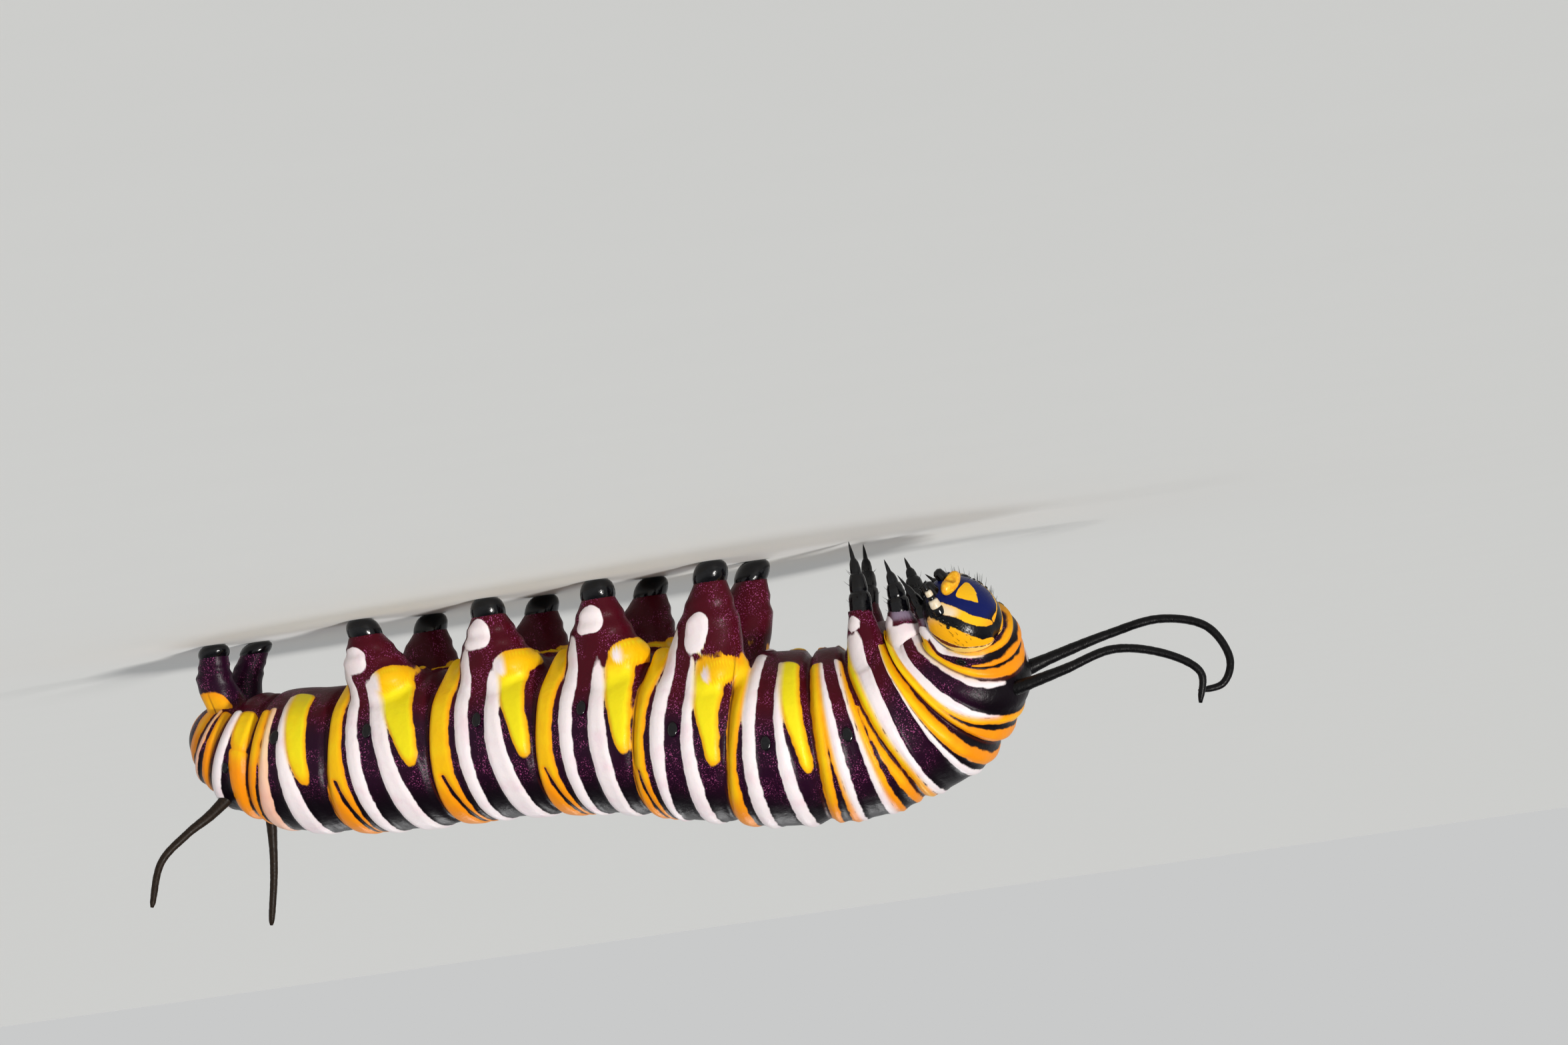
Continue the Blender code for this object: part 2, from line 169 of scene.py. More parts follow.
def setInputs(tree, node, values):
    for key, value in values.items():
        if isinstance(value, bpy.types.NodeSocket):
            tree.links.new(value, node.inputs[key])
        else:
            node.inputs[key].default_value = value


def addNode(tree, kind, settings=None, **inputs):
    node = tree.nodes.new(kind)
    for key, value in (settings or {}).items():
        setattr(node, key, value)
    # i0, i1 and so on are sockets by their number
    setInputs(tree, node, {int(key[1:]) if key[1:].isdigit() else key: value for key, value in inputs.items()})
    return node


def mixColours(tree, share, first, second):
    first, second = (c if isinstance(c, bpy.types.NodeSocket) else (*c, 1.0) for c in (first, second))
    return addNode(tree, "ShaderNodeMix", {"data_type": "RGBA"}, i0=share, i6=first, i7=second).outputs[2]


def rampValue(tree, value, low, high, toLow=0.0, toHigh=1.0):
    return addNode(tree, "ShaderNodeMapRange", {"interpolation_type": "SMOOTHSTEP"},
                   i0=value, i1=low, i2=high, i3=toLow, i4=toHigh).outputs[0]


def mathNode(tree, operation, a, b=0.0):
    return addNode(tree, "ShaderNodeMath", {"operation": operation}, i0=a, i1=b).outputs[0]


def noiseAt(tree, size, detail=2.0):
    where = addNode(tree, "ShaderNodeTexCoord").outputs["Object"]
    return addNode(tree, "ShaderNodeTexNoise", Vector=where, Scale=1 / (size * mm), Detail=detail,
                   Roughness=0.5).outputs["Fac"]


def addBump(tree, shader, height, reach, below=None):
    bump = addNode(tree, "ShaderNodeBump", Height=height, Strength=0.5, Distance=reach * mm)
    if below:
        setInputs(tree, bump, {"Normal": below})
    setInputs(tree, shader, {"Normal": bump.outputs[0]})
    return bump.outputs[0]


def readMarks(tree, name):
    marks = addNode(tree, "ShaderNodeAttribute", {"attribute_name": name})
    split = addNode(tree, "ShaderNodeSeparateColor", Color=marks.outputs["Color"])
    return [*split.outputs[:3], marks.outputs["Alpha"]]


def around(tree, value, reach):
    # a noise value moved to run from -reach to reach
    return mathNode(tree, "MULTIPLY", mathNode(tree, "SUBTRACT", value, 0.5), 2 * reach)


skinFinish = {
    "lemon": (0.88, 0.74, 0.010),
    "yellow": (0.90, 0.50, 0.004),
    "orange": (0.86, 0.27, 0.004),
    "white": (0.86, 0.78, 0.80),
    "rose": (0.80, 0.60, 0.67),
    "black": (0.0016, 0.0008, 0.002),
    "purple": (0.016, 0.0012, 0.012),
    "maroon": (0.060, 0.0012, 0.007),
    "lilac": (0.36, 0.30, 0.42),
    # the tone of the painted glints in the dark
    "paintedGlint": (0.50, 0.10, 0.30),
    "line": (0.06, 0.008, 0.004),  # painted shade in the creases
    "creaseShadeStrength": 0.9,
    "edge": (-0.01, 0.04),  # how far inside a mark its tone starts and is full
    "edgeNoise": 0.5,  # size of the wavering of the marks' edges
    "waver": 0.07,  # how far the edges waver
    "rimWidth": 0.22,  # the rim of a pale band is warmer than its middle
    "rimShare": 0.75,
    "blotchSize": 0.9,
    "blotchWarmth": 0.175,
    "roseShare": 0.6,  # of the rose blotches in the white
    "glintSize": 0.055,
    "glintPatch": 0.8,
    "glintShare": 0.7,
    "roughPale": 0.36,
    "roughDark": 0.34,
    "specular": 0.14,
    "soft": 0.10,  # share of the light that goes into the skin
    "softReach": 0.2,
    "grains": ((0.06, 0.012), (0.35, 0.05)),  # size and height
}


def makeSkinFinish():
    tones = skinFinish
    finish, tree, shader = newFinish("larvaSkin")
    pale, whiteShare, warmShare = readMarks(tree, "marks")[:3]
    redShare, creaseShadeShare, lilacShare = readMarks(tree, "depths")[:3]
    inside = mathNode(tree, "ADD", pale, around(tree, noiseAt(tree, tones["edgeNoise"], 3.0), tones["waver"]))
    blotch = noiseAt(tree, tones["blotchSize"], 3.0)
    warm = mathNode(tree, "ADD", warmShare, around(tree, blotch, tones["blotchWarmth"]))
    yellow = mixColours(tree, rampValue(tree, warm, 0.05, 0.45), tones["lemon"], tones["yellow"])
    yellow = mixColours(tree, rampValue(tree, warm, 0.5, 0.95), yellow, tones["orange"])
    rosy = rampValue(tree, blotch, 0.45, 0.75, 0.0, tones["roseShare"])
    white = mixColours(tree, rosy, tones["white"], tones["rose"])
    paleColour = mixColours(tree, rampValue(tree, whiteShare, 0.15, 0.85), yellow, white)
    rim = mathNode(tree, "MULTIPLY", rampValue(tree, inside, tones["rimWidth"], 0.0, 0.0, tones["rimShare"]),
                   rampValue(tree, whiteShare, 0.6, 0.2))
    paleColour = mixColours(tree, rim, paleColour, tones["orange"])
    dark = mixColours(tree, rampValue(tree, redShare, 0.0, 0.5), tones["black"], tones["purple"])
    dark = mixColours(tree, rampValue(tree, redShare, 0.5, 1.0), dark, tones["maroon"])
    # pale specks in patches of the dark: painted glints of the skin's granules
    paintedGlint = mathNode(tree, "MULTIPLY", rampValue(tree, noiseAt(tree, tones["glintSize"], 1.0), 0.57, 0.70),
                    rampValue(tree, noiseAt(tree, tones["glintPatch"], 2.0), 0.40, 0.62))
    paintedGlint = mathNode(tree, "MULTIPLY", paintedGlint, rampValue(tree, redShare, 0.1, 0.5, 0.0, tones["glintShare"]))
    dark = mixColours(tree, paintedGlint, dark, tones["paintedGlint"])
    edge = rampValue(tree, inside, *tones["edge"])
    colour = mixColours(tree, edge, dark, paleColour)
    # painted shade: a dark line along the creases of the folds
    creaseShadeStrength = mathNode(tree, "MULTIPLY", creaseShadeShare, tones["creaseShadeStrength"])
    colour = mixColours(tree, creaseShadeStrength, colour, tones["line"])
    setInputs(tree, shader, {
        "Base Color": mixColours(tree, lilacShare, colour, tones["lilac"]),
        "Roughness": rampValue(tree, edge, 0.0, 1.0, tones["roughDark"], tones["roughPale"]),
        "Specular IOR Level": tones["specular"],
        "Subsurface Weight": tones["soft"],
        "Subsurface Radius": (1.0, 0.5, 0.25),
        "Subsurface Scale": tones["softReach"] * mm,
    })
    below = None
    for size, height in tones["grains"]:
        below = addBump(tree, shader, noiseAt(tree, size, 2.0), height, below)
    return finish


glosses = {
    # material name, two colours, roughness, specular, then the size and the height of the grain
    "shell": ("glossyBlackShell", (0.0012, 0.0012, 0.002), (0.00316, 0.00316, 0.0046), 0.15, 0.36, 0.12, 0.01),
    "lip": ("amberLip", (0.82, 0.34, 0.008), (0.90, 0.52, 0.02), 0.25, 0.36, 0.12, 0.01),
    "cream": ("creamBead", (0.72, 0.60, 0.42), (0.80, 0.72, 0.58), 0.28, 0.36, 0.12, 0.01),
    "eye": ("darkLens", (0.0012, 0.001, 0.001), (0.00316, 0.0028, 0.0028), 0.08, 0.36, 0.12, 0.001),
    "horn": ("blackHorn", (0.0016, 0.0014, 0.0018), (0.00388, 0.00352, 0.00424), 0.36, 0.16, 0.10, 0.02),
    "rearHorn": ("brownHorn", (0.012, 0.007, 0.004), (0.0226, 0.0136, 0.0082), 0.42, 0.16, 0.10, 0.02),
}


def makeGloss(name, colour, second, roughness, specular, grain, relief):
    finish, tree, shader = newFinish(name)
    speck = noiseAt(tree, grain, 3.0)
    tone = mixColours(tree, rampValue(tree, speck, 0.35, 0.7), colour, second)
    rough = rampValue(tree, speck, 0.3, 0.7, roughness * 0.8, roughness * 1.25)
    setInputs(tree, shader, {"Base Color": tone, "Roughness": rough, "Specular IOR Level": specular})
    addBump(tree, shader, noiseAt(tree, grain * 0.6, 2.0), relief)
    return finish


def addPiece(name, vertices, faces, finish, slot="shell", replaced=()):
    mesh = bpy.data.meshes.new(name)
    mesh.from_pydata([tuple((Vector(v) - middle) * mm) for v in vertices], [], faces)
    mesh.update()
    mesh.materials.append(finish)
    mesh.shade_smooth()
    piece = bpy.data.objects.new(name, mesh)
    bpy.context.collection.objects.link(piece)
    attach(piece, "root")
    if replaced:
        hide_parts(*replaced)
    return piece


def addColours(piece, name, columns):
    # four values for each vertex, for a finish to read
    layer = piece.data.color_attributes.new(name, "FLOAT_COLOR", "POINT")
    layer.data.foreach_set("color", np.stack(columns, axis=1).astype(np.float32).ravel())


def ringFaces(rings, count):
    # quads between rings of so many points
    faces = []
    for low in range(0, (rings - 1) * count, count):
        for m in range(count):
            n = (m + 1) % count
            faces.append((low + m, low + n, low + count + n, low + count + m))
    return faces


def endFaces(rings, count):
    # closes the first and the last ring with the two points that come after the rings
    first, last = rings * count, rings * count + 1
    faces = []
    for m in range(count):
        n = (m + 1) % count
        faces += [(first, n, m), (last, (rings - 1) * count + m, (rings - 1) * count + n)]
    return faces


def ringAngles(count):
    return [2 * math.pi * m / count for m in range(count)]


def tubeMesh(points, radii, count, flat=1.0, sideHint=None):
    # rings square to the way, closed by a point at each end
    points = [Vector(p) for p in points]
    vertices = []
    side = sideHint
    for k, point in enumerate(points):
        ahead = (points[min(k + 1, len(points) - 1)] - points[max(k - 1, 0)]).normalized()
        side = ahead.orthogonal() if side is None else side
        side = (side - ahead * side.dot(ahead)).normalized()
        lift = ahead.cross(side)
        for a in ringAngles(count):
            vertices.append(point + radii[k] * (side * math.cos(a) + lift * math.sin(a) * flat))
    vertices += [points[0], points[-1]]
    return vertices, ringFaces(len(points), count) + endFaces(len(points), count)


def refined(points, radii, count):
    # more rings between the named ones
    places, sizes = [], []
    for k in range(len(points) - 1):
        for m in range(count):
            places.append(points[k].lerp(points[k + 1], m / count))
            sizes.append(lerp(radii[k], radii[k + 1], m / count))
    return places + [points[-1]], sizes + [radii[-1]]


def profileAt(rows, t):
    shares, sizes = zip(*rows)
    return float(np.interp(t, shares, sizes))


def joinMeshes(parts):
    vertices, faces = [], []
    for more, moreFaces in parts:
        start = len(vertices)
        vertices += list(more)
        faces += [tuple(start + k for k in face) for face in moreFaces]
    return vertices, faces


def smoothWay(places, steps=12):
    # a smooth line through the places, and how far along it each of its points lies
    knots = [Vector(p) for p in places]
    knots = [2 * knots[0] - knots[1]] + knots + [2 * knots[-1] - knots[-2]]
    points = []
    for a, b, c, d in zip(knots, knots[1:], knots[2:], knots[3:]):
        for k in range(steps):
            t = k / steps
            slope = (c - a) * t + (2 * a - 5 * b + 4 * c - d) * t * t + (3 * b - a - 3 * c + d) * t ** 3
            points.append(b + 0.5 * slope)
    points.append(knots[-2])
    reach = [0.0]
    for p, q in zip(points, points[1:]):
        reach.append(reach[-1] + (q - p).length)
    return points, reach


def pointAt(points, reach, distance):
    for k in range(len(points) - 1):
        if distance <= reach[k + 1]:
            return points[k].lerp(points[k + 1], (distance - reach[k]) / (reach[k + 1] - reach[k]))
    return points[-1]


def domeMesh(centre, axes, halves, rows=10, columns=16, shape=None):
    # an egg: halves along the three axes; shape may push each point of the unit ball
    vertices, faces = [], []
    for k in range(rows + 1):
        tilt = math.pi * k / rows
        for a in ringAngles(columns) if 0 < k < rows else [0.0]:
            aim = Vector((math.sin(tilt) * math.cos(a), math.sin(tilt) * math.sin(a), math.cos(tilt)))
            if shape:
                aim = shape(aim)
            spot = Vector(centre)
            for axis, half, size in zip(axes, halves, aim):
                spot = spot + Vector(axis) * (half * size)
            vertices.append(spot)
    for k in range(rows):
        low = 0 if k == 0 else 1 + (k - 1) * columns
        high = 1 + k * columns
        for m in range(columns):
            n = (m + 1) % columns
            if k == 0:
                faces.append((0, high + m, high + n))
            elif k == rows - 1:
                faces.append((low + m, high, low + n))
            else:
                faces.append((low + m, high + m, high + n, low + n))
    return vertices, faces


# The markings are pale bands on a dark ground. Each band: tone, lowest angle, highest angle, then its rear
# and its front edge in hundredths of the segment's length at the angles of bandAngles. Angle 90 is the middle
# of the back, 0 the side and -90 the middle of the belly.
bandAngles = (60, 30, 0, -30, -60)
bands = {
    "abdomen_10": (
        ("yellow", -25, 95, (0, 0, 0, 0, 0), (35, 30, 25, 30, 30)),
        ("yellow", -30, 95, (55, 62, 50, 50, 50), (95, 95, 95, 95, 95)),
    ),
    "abdomen_9": (
        ("salmon", -30, 95, (10, 10, 10, 10, 10), (40, 40, 45, 45, 45)),
        ("yellow", -30, 95, (62, 60, 55, 50, 50), (105, 105, 105, 105, 105)),
    ),
    "abdomen_8": (
        ("white", -30, 95, (10, 12, 14, 14, 14), (40, 41, 45, 45, 43)),
        ("yellow", 6, 95, (68, 60, 44, 44, 45), (95, 97, 100, 100, 100)),
        ("lemon", -32, 14, (60, 58, 42, 42, 42), (95, 97, 100, 100, 100)),
    ),
    "abdomen_7": (
        ("yellow", -33, 95, (0, 1, 3, 3, 3), (10, 14, 18, 18, 16)),
        ("salmon", -35, 95, (13, 17, 18, 17, 15), (30, 30, 28, 26, 24)),
        ("white", -50, 95, (46, 42, 36, 34, 33), (69, 61, 49, 43, 41)),
        ("lemon", -55, 28, (66, 63, 47, 38, 32), (78, 78, 73, 69, 67)),
    ),
    "abdomen_6": (
        ("yellow", -72, 95, (-12, -10, -4, -2, -2), (17, 15, 13, 14, 18)),
        ("white", -74, 95, (22, 19, 17, 17, 17), (35, 33, 31, 28, 31)),
        ("white", -58, 95, (53, 50, 46, 39, 38), (75, 70, 62, 56, 50)),
        ("lemon", -80, 14, (72, 72, 69, 50, 43), (90, 90, 88, 83, 80)),
        ("dark", 22, 95, (10, 2, -2, 0, 0), (14, 5, -2, 0, 0)),
    ),
    "abdomen_5": (
        ("yellow", -75, 95, (-9, -5, -2, 1, 8), (22, 20, 19, 21, 29)),
        ("white", -82, 95, (28, 27, 25, 25, 28), (40, 40, 39, 38, 43)),
        ("white", -70, 95, (60, 58, 53, 54, 56), (83, 80, 72, 66, 72)),
        ("lemon", -82, 14, (84, 84, 81, 65, 60), (97, 97, 96, 90, 88)),
        ("dark", 22, 95, (14, 7, 2, 0, 0), (18, 10, 2, 0, 0)),
    ),
    "abdomen_4": (
        ("yellow", -75, 95, (-5, -3, 0, 1, 7), (27, 21, 19, 21, 29)),
        ("white", -82, 95, (31, 29, 26, 26, 28), (43, 42, 40, 39, 45)),
        ("white", -70, 95, (61, 60, 55, 54, 56), (81, 80, 75, 67, 72)),
        ("lemon", -82, 11, (84, 84, 81, 67, 62), (97, 97, 97, 94, 91)),
        ("dark", 22, 95, (18, 8, 2, 0, 0), (22, 11, 2, 0, 0)),
    ),
    "abdomen_3": (
        ("yellow", -75, 95, (-7, -6, -4, -5, 0), (19, 14, 10, 14, 23)),
        ("white", -80, 95, (23, 20, 16, 17, 21), (32, 32, 32, 31, 37)),
        ("white", -70, 95, (54, 52, 47, 47, 50), (71, 68, 61, 56, 64)),
        ("lemon", -78, 12, (74, 74, 71, 54, 50), (86, 86, 86, 81, 91)),
        ("dark", 22, 95, (10, 3, -2, 0, 0), (14, 5.5, -2, 0, 0)),
    ),
    "abdomen_2": (
        ("yellow", -64, 95, (-17, -14, -13, -13, -12), (10, 5, 0, 8, 10)),
        ("white", -82, 95, (17, 12, 8, 7, 7), (33, 29, 24, 24, 24)),
        ("white", -71, 95, (58, 52, 46, 45, 46), (74, 69, 62, 55, 56)),
        ("lemon", -72, 12, (76, 76, 72, 53, 47), (86, 86, 86, 80, 78)),
    ),
    "abdomen_1": (
        ("yellow", -70, 95, (-13, -13, -12, -12, -10), (0, 2, 5, 8, 8)),
        ("yellow", -70, 95, (10, 10, 6, 2, 2), (21, 17, 12, 12, 10)),
        ("white", -70, 95, (19, 15, 10, 8, 6), (27, 27, 26, 25, 16)),
        ("white", -72, 95, (52, 50, 48, 46, 38), (63, 60, 56, 51, 47)),
        ("yellow", -72, 95, (62, 59, 55, 50, 46), (73, 69, 65, 61, 52)),
        ("yellow", -30, 95, (85, 78, 68, 60, 50), (95, 91, 77, 65, 54)),
    ),
    "thorax_3": (
        ("lemon", -74, 95, (-2, -5, -19, -31, -40), (10, 6, -9, -16, -22)),
        ("white", -86, 95, (10, 5, -10, -18, -25), (20, 15, 10, 12, 8)),
        ("white", -62, 95, (49, 52, 54, 62, 70), (60, 60, 62, 67, 73)),
        ("yellow", -62, 95, (67, 65, 61, 65, 69), (83, 83, 82, 82, 80)),
        ("yellow", -74, 95, (94, 92, 87, 86, 85), (112, 100, 105, 112, 107)),
    ),
    "thorax_2": (
        ("lemon", -74, 95, (26, 6, 0, 0, 0), (43, 19, 10, 18, 10)),
        ("white", -80, 60, (40, 18, 9, 17, 0), (43, 38, 42, 53, 65)),
        ("white", -74, 66, (91, 84, 89, 90, 84), (97, 97, 96, 100, 100)),
    ),
    "thorax_1": (
        ("yellow", -48, 95, (0, -5, -10, -10, -10), (33, 38, 48, 52, 50)),
        ("yellow", 22, 95, (43, 47, 60, 62, 62), (70, 62, 66, 70, 70)),
        ("white", -74, 40, (82, 82, 80, 64, 20), (90, 92, 97, 98, 98)),
        ("lemon", -60, 95, (86, 88, 93, 97, 98), (130, 130, 130, 130, 130)),
    ),
}
bandForm = {
    "tones": {"white": 1.0, "salmon": 0.5},  # how white
    "blur": (-14, -7, 0, 7, 14),  # degrees over which the edges are evened out
    "lowEnd": 1.4,  # how fast a band's low end grows, the higher the blunter
    "topEnd": 0.4,
    "noEnd": 99.0,  # of a band that runs over the back
    "corner": 0.45,  # of the band's width
    "corners": (0.02, 0.6),  # the smallest and the largest, in mm
}

# the folds between segments: how far behind the segment's front edge each one lies, at bandAngles, in mm
folds = {
    "width": 0.20,
    "sideDepth": 0.26,
    "backDepth": 0.14,
    "dip": (0.06, 2.6),  # of the skin beside a fold: depth, and width in widths of the fold
    "shadeLineNarrow": 2.2,  # how much narrower than the fold its line of painted shade is
    "back": {
        "abdomen_10": (0, 0, 0, 0, 0),
        "abdomen_9": (0, 0, 0, 0, 0),
        "abdomen_8": (0, 0, 0, 0, 0),
        "abdomen_7": (0.5, 0.4, 0.3, 0.2, 0.1),
        "abdomen_6": (0.45, 0.4, 0.3, 0.15, 0.1),
        "abdomen_5": (0.3, 0.2, 0.1, 0.05, 0.05),
        "abdomen_4": (0.25, 0.15, 0.08, 0.05, 0.05),
        "abdomen_3": (0.5, 0.45, 0.35, 0.3, 0.3),
        "abdomen_2": (0.4, 0.38, 0.35, 0.35, 0.35),
        "abdomen_1": (0.1, 0.2, 0.58, 0.9, 1.15),
        "thorax_3": (0.28, 0.3, 0.4, 0.45, 0.5),
        "thorax_2": (0.03, 0.03, 0.03, 0.03, 0.03),
        "thorax_1": (0, 0, 0, 0, 0),
    },
}


def acrossAngles(values, angle):
    # smooth between the few named angles
    order, row = (np.array(rows[::-1], float) for rows in (bandAngles, values))
    share = 1 / len(bandForm["blur"])
    return sum(share * np.interp(angle + shift, order, row) for shift in bandForm["blur"])


def roundedInside(along, across, corner):
    # distance into a band with rounded ends, from the distances to its edges
    inner = np.minimum(along, across)
    cut = corner - np.hypot(np.maximum(corner - along, 0), np.maximum(corner - across, 0))
    return np.where((along < corner) & (across < corner), cut, inner)


def readBands(along, angle, radius):
    # along: mm from the tail. Gives how far each point is inside the pale, and the tones there.
    pale = np.full(along.shape, -1.0)
    white, cool, weight = np.zeros(along.shape), np.zeros(along.shape), np.full(along.shape, 1e-6)
    perDegree = radius * math.pi / 180
    for n, name in enumerate(segmentNames):
        length = segmentRows[n][0]
        for tone, low, top, rear, front in bands[name]:
            start = segmentStart[n] + length * acrossAngles(np.array(rear) / 100, angle)
            end = segmentStart[n] + length * acrossAngles(np.array(front) / 100, angle)
            topEnd = (top - angle) * bandForm["topEnd"] if top < 90 else bandForm["noEnd"]
            ends = np.minimum((angle - low) * bandForm["lowEnd"], topEnd) * perDegree
            corner = np.clip((end - start) * bandForm["corner"], *bandForm["corners"])
            deep = roundedInside(np.minimum(along - start, end - along), ends, corner)
            if tone == "dark":
                pale = np.minimum(pale, -deep)
                continue
            share = smooth(-0.25, 0.28, deep) + 1e-6 * np.exp(np.clip(deep, -3, 0) * 4)
            white += share * bandForm["tones"].get(tone, 0.0)
            cool += share * (tone == "lemon")
            weight += share
            pale = np.maximum(pale, deep)
    return pale, white / weight, cool / weight


# the prolegs and the roots of the true legs are drawn out of the skin
prolegs = {
    # segment, share along it, x of the left and the right foot
    "rows": {
        "proleg_3": (7, 0.55, -1.0, -0.8),
        "proleg_4": (6, 0.55, 3.9, 3.6),
        "proleg_5": (5, 0.52, 8.8, 8.5),
        "proleg_6": (4, 0.45, 14.5, 13.6),
    },
    # the pale spot: the way it faces, half its width in degrees, share of the way down, half its height
    "spots": {
        "proleg_3": (-88, 22, 0.54, 0.105),
        "proleg_4": (-86, 32, 0.665, 0.125),
        "proleg_5": (-76, 34, 0.665, 0.145),
        "proleg_6": (-62, 36, 0.60, 0.125),
    },
    # the low end of each lobe: how far behind the foot, height, half length, half height, slope
    "toes": {
        "proleg_3": (0.16, 4.28, 0.76, 0.54, 0.20),
        "proleg_4": (-0.97, 3.00, 0.74, 0.56, 0.08),
        "proleg_5": (-0.85, 2.72, 0.76, 0.58, 0.08),
        "proleg_6": (-1.02, 2.55, 0.80, 0.54, 0.08),
    },
    "spread": 2.2,
    "rootAngle": -52,
    "rootDepth": 0.6,
    # share of the way down, half length, half width
    "profile": ((0, 1.7, 1.3), (0.3, 1.62, 1.25), (0.5, 1.42, 1.05), (0.63, 1.12, 0.88), (0.76, 0.86, 0.74),
                (0.84, 0.66, 0.62), (1, 0.50, 0.48)),
    "patch": (1.95, 1.55),  # half length and half width of the skin that is drawn out
    "patchAngle": -60,
    "rim": 0.24,  # share of the way down at the patch's rim
    "end": 0.86,
    "red": 1.0,
    "bare": (0.77, 0.62),  # the reach where the bands stop, at the front and at the back
    "whiteSpot": True,
}
analProlegs = {
    "feet": (21.7, 21.2),
    "ahead": 0.1,  # how far ahead of the tail's segment the middle of the patch lies
    "spread": 1.4,
    "share": 0.7,
    "rootAngle": -35,
    "profile": ((0, 1.0, 0.7), (0.4, 0.9, 0.7), (0.65, 0.68, 0.58), (0.78, 0.62, 0.55), (1, 0.55, 0.5)),
    "patch": (0.95, 1.1),
    "patchAngle": -62,
    "rim": 0.24,
    "end": 0.90,
    "red": 0.45,
    "bare": (0.72, 0.72),
    "whiteSpot": False,
    "spot": (-60, 75, 0.33, 0.12),
}
legs = {
    # segment, share along it, root angle, then the left and the right tip
    "rows": {
        "leg_1": (12, 0.7, -46, (-7.8, 0.2, 1.6), (-7.9, 2.6, 1.6)),
        "leg_2": (11, 0.3, -66, (-7.2, 0.5, 0.9), (-6.9, 3.1, 0.8)),
        "leg_3": (10, 0.0, -66, (-5.9, 0.3, 0.0), (-5.1, 3.4, 0.0)),
    },
    # half length and width of the patch of skin, share of the way at which the shell starts, its radius
    "lobes": {
        "leg_1": (0.62, 0.85, 0.30, 0.30),
        "leg_2": (0.85, 1.0, 0.34, 0.42),
        "leg_3": (1.25, 1.15, 0.40, 0.43),
    },
    "spots": {"leg_1": (-60, 50, 0.14, 0.10), "leg_2": (-42, 44, 0.25, 0.09), "leg_3": (-72, 42, 0.33, 0.07)},
    "plates": {"leg_1": 0.6, "leg_2": 0.6, "leg_3": 0.0},  # how lilac the plate above the shell is
    "rootDepth": 0.82,
    # share of the way down to the shell, then half length and half width in the shell's radii
    "profile": ((0, 2.0, 1.9), (0.6, 1.55, 1.45), (1, 1.12, 1.12)),
    "overlap": 0.03,  # of the skin and the shell
    "rim": -0.12,
    "red": 0.9,
    "bare": (0.5, 0.5),
}
drawing = {
    "flatShare": 0.24,  # share of a patch that ends in the sole
    "sole": 0.03,  # share of the way from the sole's rim down to its middle
    "wrinkles": (0.03, 46),  # depth, and how close they are
}


def legPlace(name, side, n, share, angle, depth, foot, form, spot, **more):
    # where one leg leaves the skin, and where it ends
    return {"name": f"{name}_{side}", "way": sides[side], "along": segmentStart[n] + share * segmentRows[n][0],
            "root": skinPoint(n, share, mirrored(angle, side), depth), "foot": Vector(foot), "form": form,
            "spot": spot, "plate": 0.0, "toe": None, **more}


def footPlaces():
    places = []
    depth = prolegs["rootDepth"]
    for name, (n, share, *feet) in prolegs["rows"].items():
        for side, x in zip(sides, feet):
            foot = (x, frameAt(n, share)[0].y - sides[side] * prolegs["spread"], 0)
            places.append(legPlace(name, side, n, share, prolegs["rootAngle"], depth, foot, prolegs,
                                   prolegs["spots"][name], toe=prolegs["toes"][name]))
    share = analProlegs["share"]
    for side, x in zip(sides, analProlegs["feet"]):
        foot = (x, frameAt(0, share)[0].y - sides[side] * analProlegs["spread"], 0)
        places.append(legPlace("anal_proleg", side, 0, share, analProlegs["rootAngle"], depth, foot,
                               analProlegs, analProlegs["spot"], along=segmentStart[1] + analProlegs["ahead"]))
    return places


def legPlaces():
    places = []
    for name, (n, share, angle, *tips) in legs["rows"].items():
        long, wide, end, thick = legs["lobes"][name]
        profile = [(end * t, thick * halfX, thick * halfY) for t, halfX, halfY in legs["profile"]]
        form = {"profile": profile + [(1, thick, thick)], "patch": (long, wide), "patchAngle": angle,
                "rim": legs["rim"], "end": end + legs["overlap"], "bare": legs["bare"], "red": legs["red"],
                "whiteSpot": True}
        for side, tip in zip(sides, tips):
            places.append(legPlace(name, side, n, share, angle, legs["rootDepth"], tip, form,
                                   legs["spots"][name], plate=legs["plates"][name], start=end, thick=thick))
    return places


skinForm = {
    "paleRise": 0.12,  # of the pale bands over the dark
    "tailEase": 2.5,  # how far from the tail the folds and bands are full
    "sideLobe": (0.08, -32, 14),  # under the openings for air: height, angle, spread
    "lowLobe": (0.30, -70, 17),  # the pale bands low on the sides
    "warmth": (0.35, 0.33, 0.55, 0.35),  # of all, taken off the lemon bands, added on the back as painted shade, and at the tail
    "redness": (1.0, 0.5, 0.4),  # of the dark under the belly, then taken off at the sides and on the back
    "toeBulge": 0.34,
    "toeWarmth": 0.42,
    "spotBulge": 0.05,
    "spotsFrom": 3,  # no white spots nearer to the tail
}


def skinGrid():
    # the rings of the skin without the tail's own point, and the angles of its columns
    counts = body["rings"]
    rings = [(n, k / count) for n, count in enumerate(counts) for k in range(count)][1:]
    rings.append((len(counts) - 1, 1.0))
    # the columns stand closer together where the legs are drawn out
    fine = np.linspace(-90, 270, 2881)
    low = np.degrees(np.arcsin(np.sin(np.radians(fine))))
    crowd, crowdAngle, spread = body["crowd"]
    grown = np.cumsum(1 + crowd * bell(low, crowdAngle, spread))
    degrees = np.interp(np.arange(body["columns"]) / body["columns"] * grown[-1], grown - grown[0], fine)
    return rings, np.radians(degrees)[None, :]


